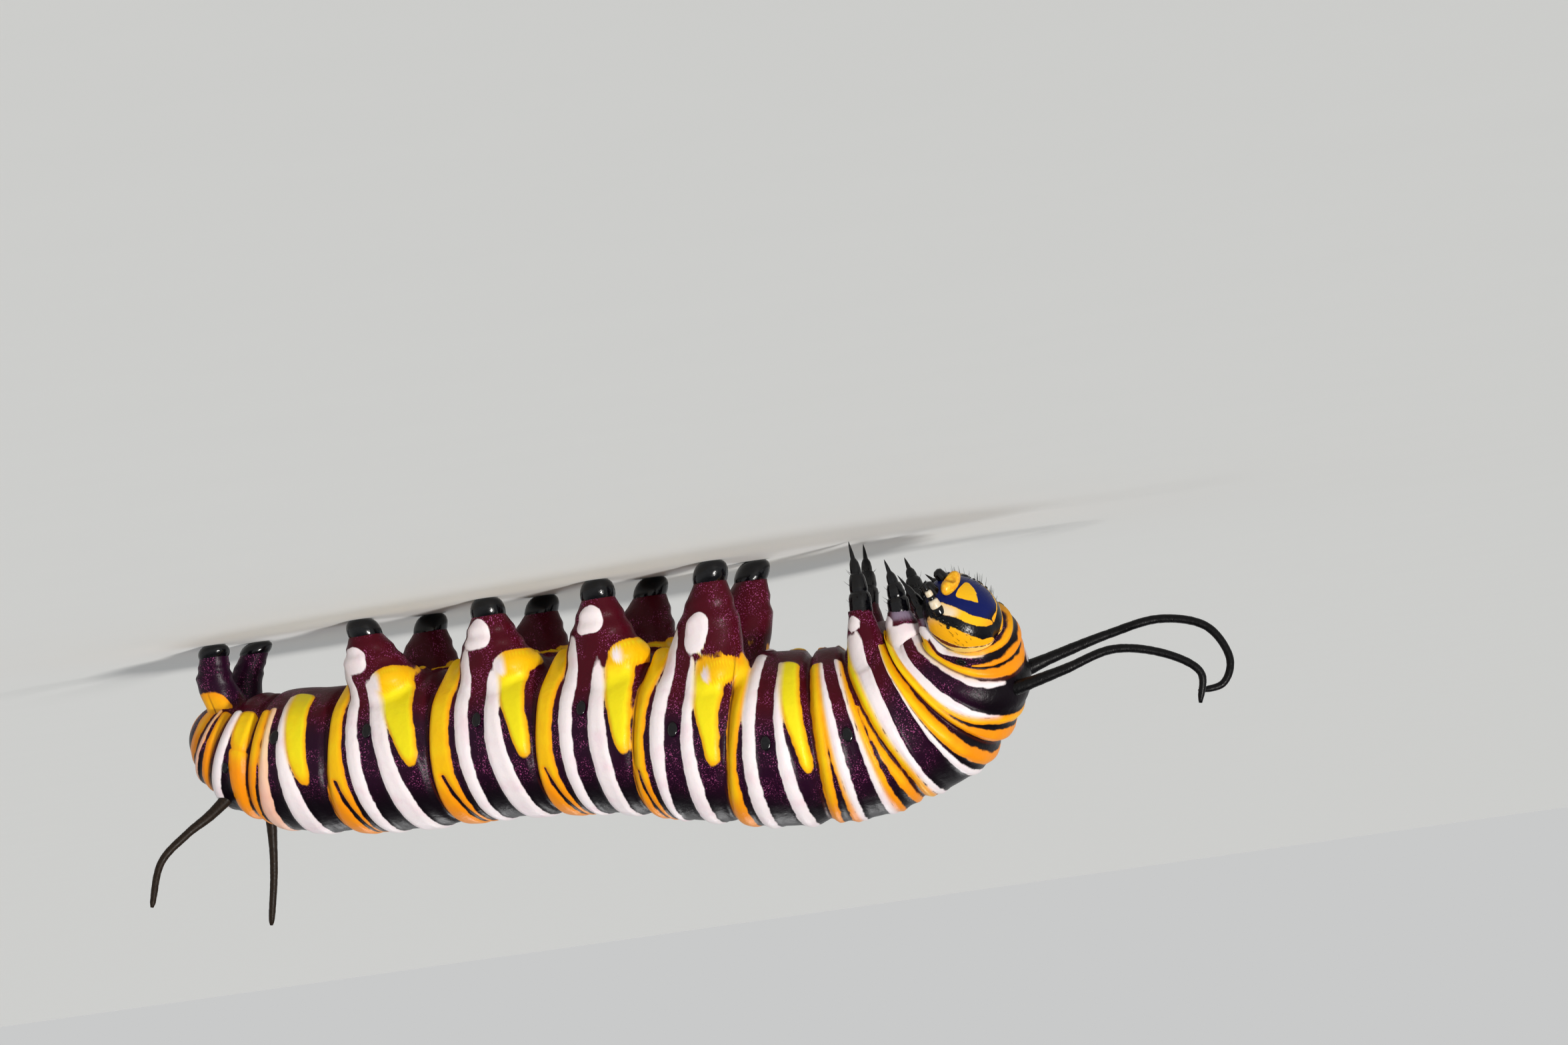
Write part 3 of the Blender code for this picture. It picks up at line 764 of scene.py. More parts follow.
def foldSkin(along, turned):
    # how far the folds pull the skin in, and where the painted shade of their creases lies
    swell, creaseShade = np.zeros(along.shape), np.zeros(along.shape)
    depth = lerp(folds["sideDepth"], folds["backDepth"], smooth(0, 70, turned))
    dip, dipWidth = folds["dip"]
    for n, name in enumerate(segmentNames[:-1]):
        line = segmentStart[n + 1] - acrossAngles(folds["back"][name], turned)
        gap = (along - line) / folds["width"]
        swell -= depth * bell(gap, 0, 1) + dip * bell(gap, 0, dipWidth)
        creaseShade = np.maximum(creaseShade, smooth(0.75, 1.0, np.exp(-(gap * folds["shadeLineNarrow"]) ** 2)))
    return swell, creaseShade


def startSkin(rings, angle):
    # the places and the marks of the skin before the legs are drawn out
    place, sideways, upwards, radii = [], [], [], []
    for n, u in rings:
        where, spin = frameAt(n, u)
        place.append(where)
        sideways.append(spin @ Vector((0, 1, 0)))
        upwards.append(spin @ Vector((0, 0, 1)))
        radii.append(radiiAt(n, u))
    place, sideways, upwards = (np.array(rows)[:, None, :] for rows in (place, sideways, upwards))
    back, belly, side = (np.array(rows)[:, None] for rows in zip(*radii))
    along = np.array([segmentStart[n] + u * segmentRows[n][0] for n, u in rings])[:, None] + 0 * angle
    rise = np.sin(angle)
    across, up = side * np.cos(angle), np.where(rise > 0, back, belly) * rise
    radius = np.hypot(across, up)
    # the same marks on both sides: angles run from -90, the belly, to 90, the back
    turned = np.degrees(np.arctan2(np.sin(angle), np.abs(np.cos(angle)))) + 0 * along
    pale, white, cool = readBands(along, turned, radius)
    swell, creaseShade = foldSkin(along, turned)
    swell += skinForm["paleRise"] * smooth(-0.14, 0.22, pale) - skinForm["paleRise"] / 2
    swell *= smooth(0.0, skinForm["tailEase"], along)
    height, *where = skinForm["sideLobe"]
    swell += height * bell(turned, *where) * smooth(3, 7, along)
    height, *where = skinForm["lowLobe"]
    swell += height * bell(turned, *where) * smooth(6, 10, along) * smooth(-0.3, 0.2, pale) * smooth(
        segmentStart[8] + 0.5, segmentStart[8] - 1.0, along)
    grown = 1 + swell / radius.clip(0.3)
    points = place + sideways * (across * grown)[..., None] + upwards * (up * grown)[..., None]
    warmth, cooler, backShadeWarmth, tailWarmth = skinForm["warmth"]
    redness, sideLess, backLess = skinForm["redness"]
    return {
        "along": along, "angle": angle, "radius": radius, "place": place, "points": points,
        "pale": pale, "white": white, "creaseShade": creaseShade,
        # the back is painted more orange: painted shade on the back
        "warm": warmth - cooler * cool + smooth(0, 55, turned) * backShadeWarmth + tailWarmth * smooth(9, 2, along),
        "red": redness - sideLess * smooth(-45, -5, turned) - backLess * smooth(10, 50, turned),
        "lilac": np.zeros(along.shape), "spots": np.full(along.shape, -1.0),
    }


def changeWhere(skin, name, chosen, value):
    skin[name] = np.where(chosen, value, skin[name])


def drawOut(skin, leg):
    # draws the root of one leg out of the skin, and sets its marks
    way, root, foot, form = (leg[key] for key in ("way", "root", "foot", "form"))
    halfLong, halfWide = form["patch"]
    along, angle, flat = skin["along"], skin["angle"], drawing["flatShare"]
    signed = np.degrees(np.arctan2(np.sin(angle), way * np.cos(angle))) + 0 * along
    inward = (form["patchAngle"] - signed) * math.pi / 180 * skin["radius"]
    s, c = -(along - leg["along"]) / halfLong, inward / halfWide
    reach = np.hypot(s, c)
    mine = (reach < 1) & (signed > -90)
    cos, sin = s / reach.clip(1e-6), c / reach.clip(1e-6)
    t = np.interp(reach, (0, flat, 1), (form["end"] + drawing["sole"], form["end"], form["rim"]))
    shares, longs, wides = zip(*form["profile"])
    halfX, halfY = np.interp(t, shares, longs), np.interp(t, shares, wides)
    closing = np.clip(reach / flat, 0, 1)
    cone = np.stack([lerp(root.x, foot.x, t) + halfX * cos * closing,
                     lerp(root.y, foot.y, t) + way * halfY * sin * closing,
                     lerp(root.z, foot.z, t)], axis=-1)
    deep, close = drawing["wrinkles"]
    wrinkle = deep * np.sin(t * close) * smooth(0.3, 0.45, t) * smooth(0.80, 0.72, t)
    cone[..., 0] += cos * wrinkle
    cone[..., 1] += way * sin * wrinkle
    blend = smooth(1.0, 0.62, reach)[..., None]
    changeWhere(skin, "points", mine[..., None], lerp(skin["points"], cone, blend))
    # the bands stop around the leg
    front, rear = form["bare"]
    bare = (reach - front + (front - rear) * smooth(-0.2, 0.7, cos)) * 1.6
    changeWhere(skin, "pale", mine, roundedInside(skin["pale"], bare, 0.3))
    changeWhere(skin, "red", mine, lerp(skin["red"], form["red"], smooth(1.0, 0.8, reach)))
    # the painted shade of the creases fades out around the leg
    changeWhere(skin, "creaseShade", mine, skin["creaseShade"] * smooth(0.6, 1.0, reach))
    turned = np.degrees(np.arctan2(sin, cos))
    turn, half, share, tall = leg["spot"]
    turnAway = (turned - turn + 180) % 360 - 180
    spot = roundedInside((half - np.abs(turnAway)) / 57.3 * halfX.clip(0.3),  # 57.3 degrees in a radian
                         (tall - np.abs(t - share)) * (foot - root).length, 0.5)
    changeWhere(skin, "spots", mine, np.maximum(skin["spots"], spot))
    if not form["whiteSpot"]:
        changeWhere(skin, "white", mine & (spot > -0.1), 0.0)
    if leg["plate"]:
        front = np.cos(np.radians(turned + 130))
        share = smooth(leg["start"] - 0.11, leg["start"] - 0.05, t) * smooth(0.3, 0.8, front)
        changeWhere(skin, "lilac", mine, np.maximum(skin["lilac"], share * leg["plate"]))


def hangToes(skin, places):
    # the low end of each lobe hangs over the front of a proleg's root
    hang = np.full(skin["along"].shape, -1.0)
    x, y, z = (skin["points"][..., k] for k in range(3))
    for leg in places:
        if leg["toe"]:
            behind, high, long, tall, slope = leg["toe"]
            out = (y - leg["root"].y) * -leg["way"]
            gap = x - leg["foot"].x - behind
            dx, dz = gap / long, (z - high - slope * gap) / tall
            deep = (1 - np.hypot(dx, dz)) * tall
            # not on the far side of the leg, nor far along the body
            deep = deep - 0.8 * smooth(0.1, -0.7, out) - 3 * smooth(1.5, 2.5, np.abs(dx))
            hang = np.maximum(hang, deep)
            share = smooth(0, 0.2, deep)
            changeWhere(skin, "white", deep > 0, lerp(skin["white"], smooth(0.1, 0.75, dx), share))
            changeWhere(skin, "warm", deep > 0, lerp(skin["warm"], skinForm["toeWarmth"], share))
    skin["pale"] = np.maximum(skin["pale"], hang)
    skin["red"] = np.maximum(skin["red"], smooth(-0.3, -0.02, hang))
    return hang


def raiseSkin(skin, hang):
    # pushes the toes and the spots out of the skin
    points, spots = skin["points"], skin["spots"]
    alongStep = np.gradient(points, axis=0)
    roundStep = np.roll(points, -1, axis=1) - np.roll(points, 1, axis=1)
    normals = np.cross(roundStep, alongStep)
    normals /= np.linalg.norm(normals, axis=-1, keepdims=True).clip(1e-9)
    outward = np.sign(((points - skin["place"]) * normals).sum(axis=(0, 1)).sum())
    push = skinForm["toeBulge"] * smooth(-0.20, 0.48, hang) + skinForm["spotBulge"] * smooth(-0.05, 0.2, spots)
    points += normals * outward * push[..., None]
    changeWhere(skin, "white", (spots > skin["pale"]) & (skin["along"] > skinForm["spotsFrom"]), 1.0)
    skin["pale"] = np.maximum(skin["pale"], spots)


def unwrapSkin(piece, count, columns):
    # an unwrap of the skin: length along it, and the way round
    layer = piece.data.uv_layers.new(name="OFBake")
    corners = np.empty(len(piece.data.loops), np.int32)
    piece.data.loops.foreach_get("vertex_index", corners)
    tailPoint = columns * count
    row, column = corners // columns, corners % columns
    u = column / columns
    v = np.where(corners < tailPoint, row / count, corners > tailPoint)
    for face in piece.data.polygons:
        if face.index % columns == columns - 1:  # where the last column meets the first
            for k in face.loop_indices:
                if corners[k] < tailPoint and column[k] == 0:
                    u[k] = 1.0
    layer.data.foreach_set("uv", np.stack([u, v], axis=1).astype(np.float32).ravel())


def buildSkin(finish):
    rings, angle = skinGrid()
    skin = startSkin(rings, angle)
    feet = footPlaces()
    for leg in feet + legPlaces():
        drawOut(skin, leg)
    hang = hangToes(skin, feet)
    raiseSkin(skin, hang)
    count, columns = len(rings), body["columns"]
    ends = [tuple(frameAt(0, 0)[0]), tuple(frameAt(len(segmentRows) - 1, 1)[0])]
    vertices = skin["points"].reshape(-1, 3).tolist() + ends
    faces = ringFaces(count, columns) + endFaces(count, columns)
    replaced = segmentNames + [leg["name"] for leg in feet]
    piece = addPiece("larva_skin", vertices, faces, finish, "skin", replaced)
    for name, layers in (("marks", ("pale", "white", "warm")), ("depths", ("red", "creaseShade", "lilac"))):
        # the two end points take the first and the last value of the grid
        values = [np.append(skin[layer], (skin[layer][0, 0], skin[layer][-1, -1])) for layer in layers]
        addColours(piece, name, [*values, np.ones(len(vertices))])
    unwrapSkin(piece, count, columns)


# places on the head are in its own frame: forward, left, up
head = {
    "attitude": (-18, 32, -37),
    "set": (0.62, 0.18, -0.41),  # from the neck
    "half": (1.22, 1.52, 1.70),  # half depth, width and height
    "rows": 120,
    "columns": 160,
    "tuck": 0.05,  # how far ahead of the neck's edge the capsule starts
    "groove": 0.08,
    "grooveWidth": 0.22,
    # heights on the head, then how much further out the band of the right half lies
    "farShift": ((1.15, 0.0), (0.9, 0.22), (0.65, 0.52), (0.32, 0.52), (0.0, 0.48), (-0.5, 0.42),
                 (-1.2, 0.34)),
    "farFrons": 0.20,  # the same for its half of the triangle
    "farCheek": 0.10,  # and for its cheek
    # heights, then how far ahead the line across the crown lies and how thick it is
    "paleLine": ((1.60, 0.54, 0.03), (1.40, 0.50, 0.03), (1.07, 0.42, 0.03), (0.68, 0.22, 0.06),
                 (0.45, 0.14, 0.16), (0.10, 0.02, 0.22), (-0.31, -0.20, 0.14), (-0.70, -0.45, 0.03)),
    # heights on the face, then how far from its middle the edges of the marks lie there
    "bandInner": ((0.95, 0.0), (0.84, 0.04), (0.61, 0.25), (0.32, 0.48), (0.11, 0.60), (-0.32, 0.70),
                  (-0.85, 0.79), (-1.12, 0.80), (-1.7, 0.80)),
    "bandOuter": ((1.05, 0.0), (0.98, 0.14), (0.84, 0.45), (0.53, 0.75), (0.11, 0.95), (-0.28, 1.03),
                  (-0.66, 1.14), (-1.08, 1.08), (-1.25, 0.85), (-1.7, 0.3)),
    "blackOuter": ((1.60, 0.0), (1.34, 0.33), (1.09, 0.79), (0.68, 1.04), (0.26, 1.20), (-0.35, 1.35),
                   (-0.8, 1.30), (-1.3, 1.1), (-1.7, 0.8)),
    "fronsOuter": ((0.02, 0.0), (-0.10, 0.09), (-0.40, 0.25), (-0.70, 0.38), (-0.80, 0.36), (-0.87, 0.25),
                   (-0.90, 0.0)),
    "bandHeights": (-1.45, 1.0),  # the lowest and the highest
    "farBandWidth": 0.14,  # the least of the right half's band
    "faceStart": -0.15,  # the marks of the face lie ahead of this
    # a dark bar across each cheek: half thickness, how far ahead, slope, half height, height
    "bar": (0.16, -0.52, 0.22, 0.62, -0.02),
    "neckRim": -1.02,  # behind this the head is dark
    "crownWhite": 0.20,  # how pale the hind part of the crown is
}
headFinish = {
    "yellow": (0.90, 0.52, 0.008),
    "white": (0.80, 0.72, 0.60),
    "black": (0.002, 0.002, 0.004),
    # a painted reflection of the sky on the dark face
    "paintedSkyBlue": (0.001, 0.006, 0.090),
    "brown": (0.13, 0.022, 0.003),
    "edge": (-0.012, 0.025),  # how far inside a mark its tone starts and is full
    "edgeNoise": 0.12,  # size of the wavering of the marks' edges
    "waver": 0.04,
    "roughness": 0.24,
    "specular": 0.20,
    "pits": (0.10, 0.010),  # size and depth
}


def headFrame():
    place, spin = frameAt(len(segmentRows) - 1, 1)
    return place + spin @ Vector(head["set"]), attitude(*head["attitude"])


def onHead(spot):
    place, spin = headFrame()
    return place + spin @ Vector(spot)


def headRadius(aim):
    groove = head["groove"] * max(0.0, aim.z) * math.exp(-(aim.y / head["grooveWidth"]) ** 2)
    return Vector([a * half for a, half in zip(aim, head["half"])]) * (1 - groove)


def edgeOf(name, height, column=1):
    rows = np.array(head[name])[::-1]
    return np.interp(height, rows[:, 0], rows[:, column])


def headMarks(local):
    # how far inside the pale each point of the head is, and its tones
    ahead, out, up = local[:, 0], np.abs(local[:, 1]), local[:, 2]
    far = (local[:, 1] < 0) * smooth(0.0, 0.5, out)
    inner = edgeOf("bandInner", up) + edgeOf("farShift", up) * far
    outer = np.maximum(edgeOf("bandOuter", up), (inner + head["farBandWidth"]) * far)
    low, high = head["bandHeights"]
    band = np.minimum(np.minimum(out - inner, outer - out), np.minimum(up - low, high - up))
    frons = edgeOf("fronsOuter", up) + head["farFrons"] * smooth(0.7, -0.1, up) * far - out
    frons = np.where((up > head["fronsOuter"][0][0]) | (up < head["fronsOuter"][-1][0]), -0.3, frons)
    cheek = out - edgeOf("blackOuter", up) - head["farCheek"] * far * smooth(1.0, 0.6, up)
    face = np.maximum(np.maximum(band, frons), cheek)
    face = np.where(ahead > head["faceStart"], face, cheek)
    halfThick, barAhead, slope, halfHigh, barHeight = head["bar"]
    bar = np.minimum(halfThick - np.abs(ahead - barAhead - slope * up), halfHigh - np.abs(up - barHeight))
    face = np.minimum(face, -np.maximum(bar, head["neckRim"] - ahead))
    # white in the middle of the band's low half, orange towards the top
    white = 0.8 * smooth(-0.15, -0.55, up) * smooth(0.2, -0.2, np.abs(out - 1.02) - 0.2)
    warm = smooth(0.4, 1.3, up) * 0.8 + 0.15
    # painted reflection of the sky, on the dark face inside the band
    paintedSkyBlue = smooth(0.08, -0.05, out - inner) * smooth(0.0, 0.3, ahead) * smooth(0.9, 0.5, up)
    # the hind part of the crown is paler, up to a line across it that widens to a brown wedge
    line, thick = edgeOf("paleLine", up), edgeOf("paleLine", up, 2)
    crown = smooth(0.05, -0.05, ahead - line) * (cheek > 0)
    white = np.maximum(white, crown * head["crownWhite"])
    warm = np.where(cheek > 0, lerp(0.45, 0.0, crown), warm)
    wedge = np.abs(ahead - line + thick / 2) - thick / 2
    face = np.where(cheek > 0, np.minimum(face, wedge), face)
    # a share of white in the dark makes it brown
    white = np.where(face < 0, smooth(0.03, -0.01, wedge) * (cheek > 0), white)
    return face, white, warm, paintedSkyBlue


def makeHeadFinish():
    tones = headFinish
    finish, tree, shader = newFinish("headShell")
    pale, whiteShare, warmShare, skyReflectionShare = readMarks(tree, "marks")
    inside = mathNode(tree, "ADD", pale, around(tree, noiseAt(tree, tones["edgeNoise"], 3.0), tones["waver"]))
    yellow = mixColours(tree, warmShare, tones["yellow"], skinFinish["orange"])
    paleColour = mixColours(tree, whiteShare, yellow, tones["white"])
    # the painted sky reflection mixed into the black
    dark = mixColours(tree, skyReflectionShare, tones["black"], tones["paintedSkyBlue"])
    dark = mixColours(tree, whiteShare, dark, tones["brown"])
    colour = mixColours(tree, rampValue(tree, inside, *tones["edge"]), dark, paleColour)
    setInputs(tree, shader, {"Base Color": colour, "Roughness": tones["roughness"],
                             "Specular IOR Level": tones["specular"]})
    size, depth = tones["pits"]
    where = addNode(tree, "ShaderNodeTexCoord").outputs["Object"]
    pits = addNode(tree, "ShaderNodeTexVoronoi", Vector=where, Scale=1 / (size * mm)).outputs["Distance"]
    addBump(tree, shader, pits, depth)
    return finish


def buildHead(finish):
    place, spin = headFrame()
    local, faces = domeMesh((0, 0, 0), ((1, 0, 0), (0, 1, 0), (0, 0, 1)), (1, 1, 1),
                            head["rows"], head["columns"], headRadius)
    neckPlace, neckSpin = frameAt(len(segmentRows) - 1, 1)
    ahead = neckSpin @ Vector((1, 0, 0))
    vertices = []
    for p in local:
        spot = place + spin @ p
        # behind the neck's edge the capsule tucks into the skin
        past = (spot - neckPlace).dot(ahead) - head["tuck"]
        vertices.append(spot if past > 0 else spot - ahead * past)
    piece = addPiece("head_capsule", vertices, faces, finish, "shell", ["head"])
    addColours(piece, "marks", headMarks(np.array([tuple(p) for p in local])))


mouth = {
    # root and tip of each, then the radius
    "labrum": ((0.72, 0.0, -1.02), (1.06, 0.0, -1.34)),
    "labium": ((-0.20, 0.0, -1.15), (-0.25, 0.0, -1.95), 0.27),
    "mandible": ((0.38, 0.40, -1.15), (0.43, 0.40, -1.95), 0.25),
    "antenna": {"left": ((0.47, 1.05, -0.80), (0.95, 0.91, -2.10)),
                "right": ((0.40, -1.05, -0.80), (-0.34, -1.34, -1.44))},
    "lip": (0.40, 0.62, 0.27),  # half length, width and thickness of the upper lip
    "lipPlace": 0.8,  # of its middle, as a share of the way
    "notch": (0.95, 0.42),  # its depth and width
    "lipNarrowing": 0.15,
    # parts of the antenna: name, finish, start and end as shares of the way, radius at both
    "beads": (
        ("antenna_root_", "shell", -0.05, 0.24, 0.24, 0.22),
        ("antenna_base_", "cream", 0.18, 0.48, 0.23, 0.19),
        ("antenna_ring_", "shell", 0.46, 0.58, 0.16, 0.16),
        ("antenna_bead_", "cream", 0.56, 0.76, 0.15, 0.13),
        ("antenna_tip_", "shell", 0.74, 1.0, 0.10, 0.05),
    ),
    "eyes": ((0.73, 1.21, -0.04), (0.53, 1.36, -0.24), (0.62, 1.27, -0.37), (0.53, 1.28, -0.58),
             (0.46, 1.26, -0.75), (0.20, 1.25, -0.98)),
    "eyeSize": 0.075,
    "eyeFlatness": 0.8,
}


def notched(aim):
    # the middle of the upper lip's edge is cut back
    depth, width = mouth["notch"]
    cut = depth * math.exp(-(aim.y / width) ** 2) * max(0.0, aim.x)
    return Vector((aim.x * (1 - cut), aim.y * (1 - mouth["lipNarrowing"] * max(0.0, aim.x)), aim.z))


def buildMouth(finishes):
    left = headFrame()[1] @ Vector((0, 1, 0))
    root, tip = mouth["labrum"]
    centre = onHead([lerp(a, b, mouth["lipPlace"]) for a, b in zip(root, tip)])
    down = (onHead(tip) - onHead(root)).normalized()
    out = left.cross(down).normalized()
    addPiece("upper_lip", *domeMesh(centre, (down, left, out), mouth["lip"], 24, 40, notched), finishes["lip"])
    root, tip, thick = mouth["labium"]
    line = [onHead(root).lerp(onHead(tip), k / 8) for k in range(9)]
    # gently ringed, and rounded at its end
    sizes = [thick * (1 + 0.12 * math.sin(k * 1.6)) * (1 if k < 7 else 0.8) for k in range(9)]
    addPiece("lower_lip", *tubeMesh(line, sizes, 20), finishes["shell"], "shell", ["labium"])
    for side, way in sides.items():
        root, tip, thick = mouth["mandible"]
        a, b = (onHead((p[0], way * p[1], p[2])) for p in (root, tip))
        line = [a.lerp(b, k / 10) for k in range(11)]
        sizes = [thick * (1.05 - 0.25 * (k / 10) ** 2) * (0.55 if k == 10 else 1) for k in range(11)]
        jaw = tubeMesh(line, sizes, 20, 0.85, left)
        addPiece(f"jaw_{side}", *jaw, finishes["shell"], "shell", [f"mandible_{side}"])
        buildAntenna(side, finishes)
        buildEyes(side, way, finishes["eye"])


def buildEyes(side, way, finish):
    eyes = []
    size = mouth["eyeSize"]
    for x, y, z in mouth["eyes"]:
        aim = Vector([a / half for a, half in zip((x, way * y, z), head["half"])]).normalized()
        place = onHead(headRadius(aim) * 0.995)
        normal = (place - headFrame()[0]).normalized()
        across = normal.orthogonal().normalized()
        axes = (normal, across, normal.cross(across))
        eyes.append(domeMesh(place, axes, (size * mouth["eyeFlatness"], size, size)))
    addPiece(f"simple_eyes_{side}", *joinMeshes(eyes), finish)


def buildAntenna(side, finishes):
    a, b = (onHead(p) for p in mouth["antenna"][side])
    for k, (name, tone, start, end, thick, thin) in enumerate(mouth["beads"]):
        line = [a.lerp(b, start + (end - start) * j / 8) for j in range(9)]
        rounds = [math.sqrt(max(0.05, 1 - (2 * j / 8 - 1) ** 6)) for j in range(9)]
        sizes = [lerp(thick, thin, j / 8) * rounds[j] for j in range(9)]
        replaced = [f"antenna_{side}"] if k == 0 else []
        addPiece(name + side, *tubeMesh(line, sizes, 18), finishes[tone], "shell", replaced)


# the shells of the true legs
legShell = {
    # share of the way from the lobe to the claw's tip, share of the radius
    "profile": ((0.0, 0.80), (0.05, 0.97), (0.12, 1.04), (0.28, 1.02), (0.33, 0.92), (0.35, 0.80),
                (0.40, 0.84), (0.52, 0.74), (0.57, 0.62), (0.59, 0.50), (0.64, 0.50), (0.72, 0.42),
                (0.76, 0.30), (0.78, 0.22), (0.86, 0.17), (0.94, 0.10), (1.0, 0.02)),
    "bow": 0.10,  # how far a leg bows out
    "tuck": 0.05,  # share of the way by which the shell starts inside the skin
}


def shellStart(leg):
    return leg["root"].lerp(leg["foot"], leg["start"] - legShell["tuck"])


def shellPoint(leg, t):
    return shellStart(leg).lerp(leg["foot"], t) - Vector((legShell["bow"] * math.sin(math.pi * t), 0, 0))


def buildLegs(finishes):
    for leg in legPlaces():
        points = [shellPoint(leg, t) for t, r in legShell["profile"]]
        radii = [r * leg["thick"] for t, r in legShell["profile"]]
        tube = tubeMesh(*refined(points, radii, 3), 28)
        addPiece("true_" + leg["name"], *tube, finishes["shell"], "shell", [leg["name"]])


# thin hairs on the face and the true legs
hairs = {
    "seed": 5,
    "onFace": 80,
    "onLeg": 16,
    "length": (0.16, 0.34),
    "shortUp": 0.7,  # length of those on the upper half of the face, as a share
    "thick": 0.011,
    "droop": 0.35,
    # share of the length, share of the radius
    "profile": ((-0.1, 1.0), (0.0, 1.0), (0.35, 0.8), (0.7, 0.5), (1.0, 0.15)),
    "legReach": (0.08, 0.6),  # where they stand on a leg's shell
}


def hairMesh(root, aim, length):
    droop = Vector((0, 0, -hairs["droop"] * length))
    line = [root + aim * (length * t) + droop * (t * t) for t, size in hairs["profile"]]
    return tubeMesh(line, [hairs["thick"] * size for t, size in hairs["profile"]], 5)


def buildHairs(finish):
    chance = np.random.default_rng(hairs["seed"])
    spin = headFrame()[1]
    parts = []
    while len(parts) < hairs["onFace"]:
        aim = Vector(chance.normal(size=3)).normalized()
        # on the lower face and its sides only
        if aim.x > 0.1 and (aim.z < -0.62 or (aim.z < 0.6 and abs(aim.y) > 0.62)):
            root = onHead(headRadius(aim))
            out = (spin @ (aim + Vector((0.4, 0, -0.7)))).normalized()
            length = chance.uniform(*hairs["length"]) * (hairs["shortUp"] if aim.z > 0 else 1.0)
            parts.append(hairMesh(root, out, length))
    addPiece("face_hairs", *joinMeshes(parts), finish)
    parts = []
    for leg in legPlaces():
        down = (leg["foot"] - shellStart(leg)).normalized()
        across = down.orthogonal().normalized()
        for k in range(hairs["onLeg"]):
            t, a = chance.uniform(*hairs["legReach"]), 2.4 * k
            out = across * math.cos(a) + down.cross(across) * math.sin(a)
            radius = profileAt(legShell["profile"], t)
            root = shellPoint(leg, t) + out * (radius * leg["thick"] * 0.9)
            parts.append(hairMesh(root, (out + down * 0.6).normalized(), chance.uniform(*hairs["length"])))
    addPiece("leg_hairs", *joinMeshes(parts), finish)


# the dark soles of the prolegs
soles = {
    "sizes": {"proleg": (1.14, 0.70, 0.66), "anal": (0.72, 0.66, 0.58)},  # height, half length, half width
    # share of the height, share of the half length and width
    "profile": ((0.0, 0.52), (0.02, 0.64), (0.07, 0.76), (0.15, 0.87), (0.28, 0.96), (0.42, 1.0), (0.57, 1.0),
                (0.72, 0.95), (0.84, 0.83), (0.93, 0.62), (1.0, 0.32)),
    "columns": 32,
}


def buildSoles(finish):
    rows, count = soles["profile"], soles["columns"]
    for leg in footPlaces():
        height, long, wide = soles["sizes"][leg["name"].split("_")[0]]
        lean = (leg["root"] - leg["foot"]).normalized()
        vertices = []
        for t, r in rows:
            spot = leg["foot"] + lean * (height * t)
            spot.z = max(spot.z, 0.0) if t else 0.0
            for a in ringAngles(count):
                vertices.append(spot + Vector((long * r * math.cos(a), wide * r * math.sin(a), 0)))
        faces = ringFaces(len(rows), count)
        faces.append(tuple(range(count - 1, -1, -1)))
        faces.append(tuple((len(rows) - 1) * count + m for m in range(count)))
        addPiece("pad_" + leg["name"], vertices, faces, finish)


# openings for air
spiracles = {
    # segment, share along it, angle, scale
    "rows": ((2, 0.51, 27, 0.75), (3, 0.34, -8, 1), (4, 0.39, -14, 1), (5, 0.47, -15, 1), (6, 0.48, -20, 1),
             (7, 0.40, -10, 1), (8, 0.36, -9, 1), (9, 0.38, -12, 1), (12, 0.68, 8, 0.75)),
    "half": (0.20, 0.30, 0.07),  # along the body, up, proud of it
    "proud": 0.03,  # of the middle
    "dip": (0.6, 0.18),  # depth as a share, spread
}


def dished(aim):
    depth, spread = spiracles["dip"]
    dip = depth * math.exp(-((aim.x ** 2 + aim.y ** 2) / spread))
    return Vector((aim.x, aim.y, aim.z * (1 - dip)))


def buildSpiracles(finish):
    for side in sides:
        parts = []
        for n, share, angle, scale in spiracles["rows"]:
            turn = mirrored(angle, side)
            place = skinPoint(n, share, turn)
            middlePlace, spin = frameAt(n, share)
            forward = spin @ Vector((1, 0, 0))
            up = (skinPoint(n, share, turn + 0.05) - skinPoint(n, share, turn - 0.05)).normalized()
            out = forward.cross(up).normalized()
            if out.dot(place - middlePlace) < 0:
                out = -out
            centre = place + out * spiracles["proud"]
            halves = [h * scale for h in spiracles["half"]]
            parts.append(domeMesh(centre, (forward, up, out), halves, 10, 20, dished))
        addPiece(f"air_openings_{side}", *joinMeshes(parts), finish)


# the soft horns, front and rear
filaments = {
    "front": {
        "left": ((-9.9, 1.9, 6.7), (-11.5, 2.0, 6.5), (-13.2, 2.5, 6.1), (-15.0, 3.2, 5.6), (-16.7, 4.0, 6.0),
                 (-17.9, 4.6, 6.9), (-17.7, 4.7, 8.1)),
        "right": ((-9.4, 3.7, 6.3), (-10.9, 4.1, 5.8), (-12.2, 4.6, 5.4), (-14.1, 5.3, 4.9), (-15.9, 6.1, 4.6),
                  (-17.5, 6.8, 5.1), (-18.2, 7.1, 6.4), (-17.9, 6.9, 7.4), (-17.0, 6.4, 7.6)),
    },
    "rear": {
        "left": ((21.6, -0.8, 5.6), (22.6, -1.8, 6.7), (23.5, -2.5, 7.4), (24.5, -3.1, 8.4),
                 (25.0, -3.4, 10.1)),
        "right": ((21.6, 1.2, 5.8), (21.9, 1.6, 7.7), (22.2, 1.8, 9.4), (22.8, 2.1, 11.4)),
    },
    # share of the way, radius
    "frontProfile": ((0, 0.42), (0.10, 0.34), (0.2, 0.24), (0.4, 0.18), (0.9, 0.15), (0.97, 0.13), (1, 0.07)),
    "rearProfile": ((0, 0.36), (0.2, 0.24), (0.45, 0.17), (0.9, 0.14), (0.97, 0.12), (1, 0.06)),
    "step": 0.10,
    "pimple": 0.06,  # share of the radius
    "pimplesPerMm": 6,
}


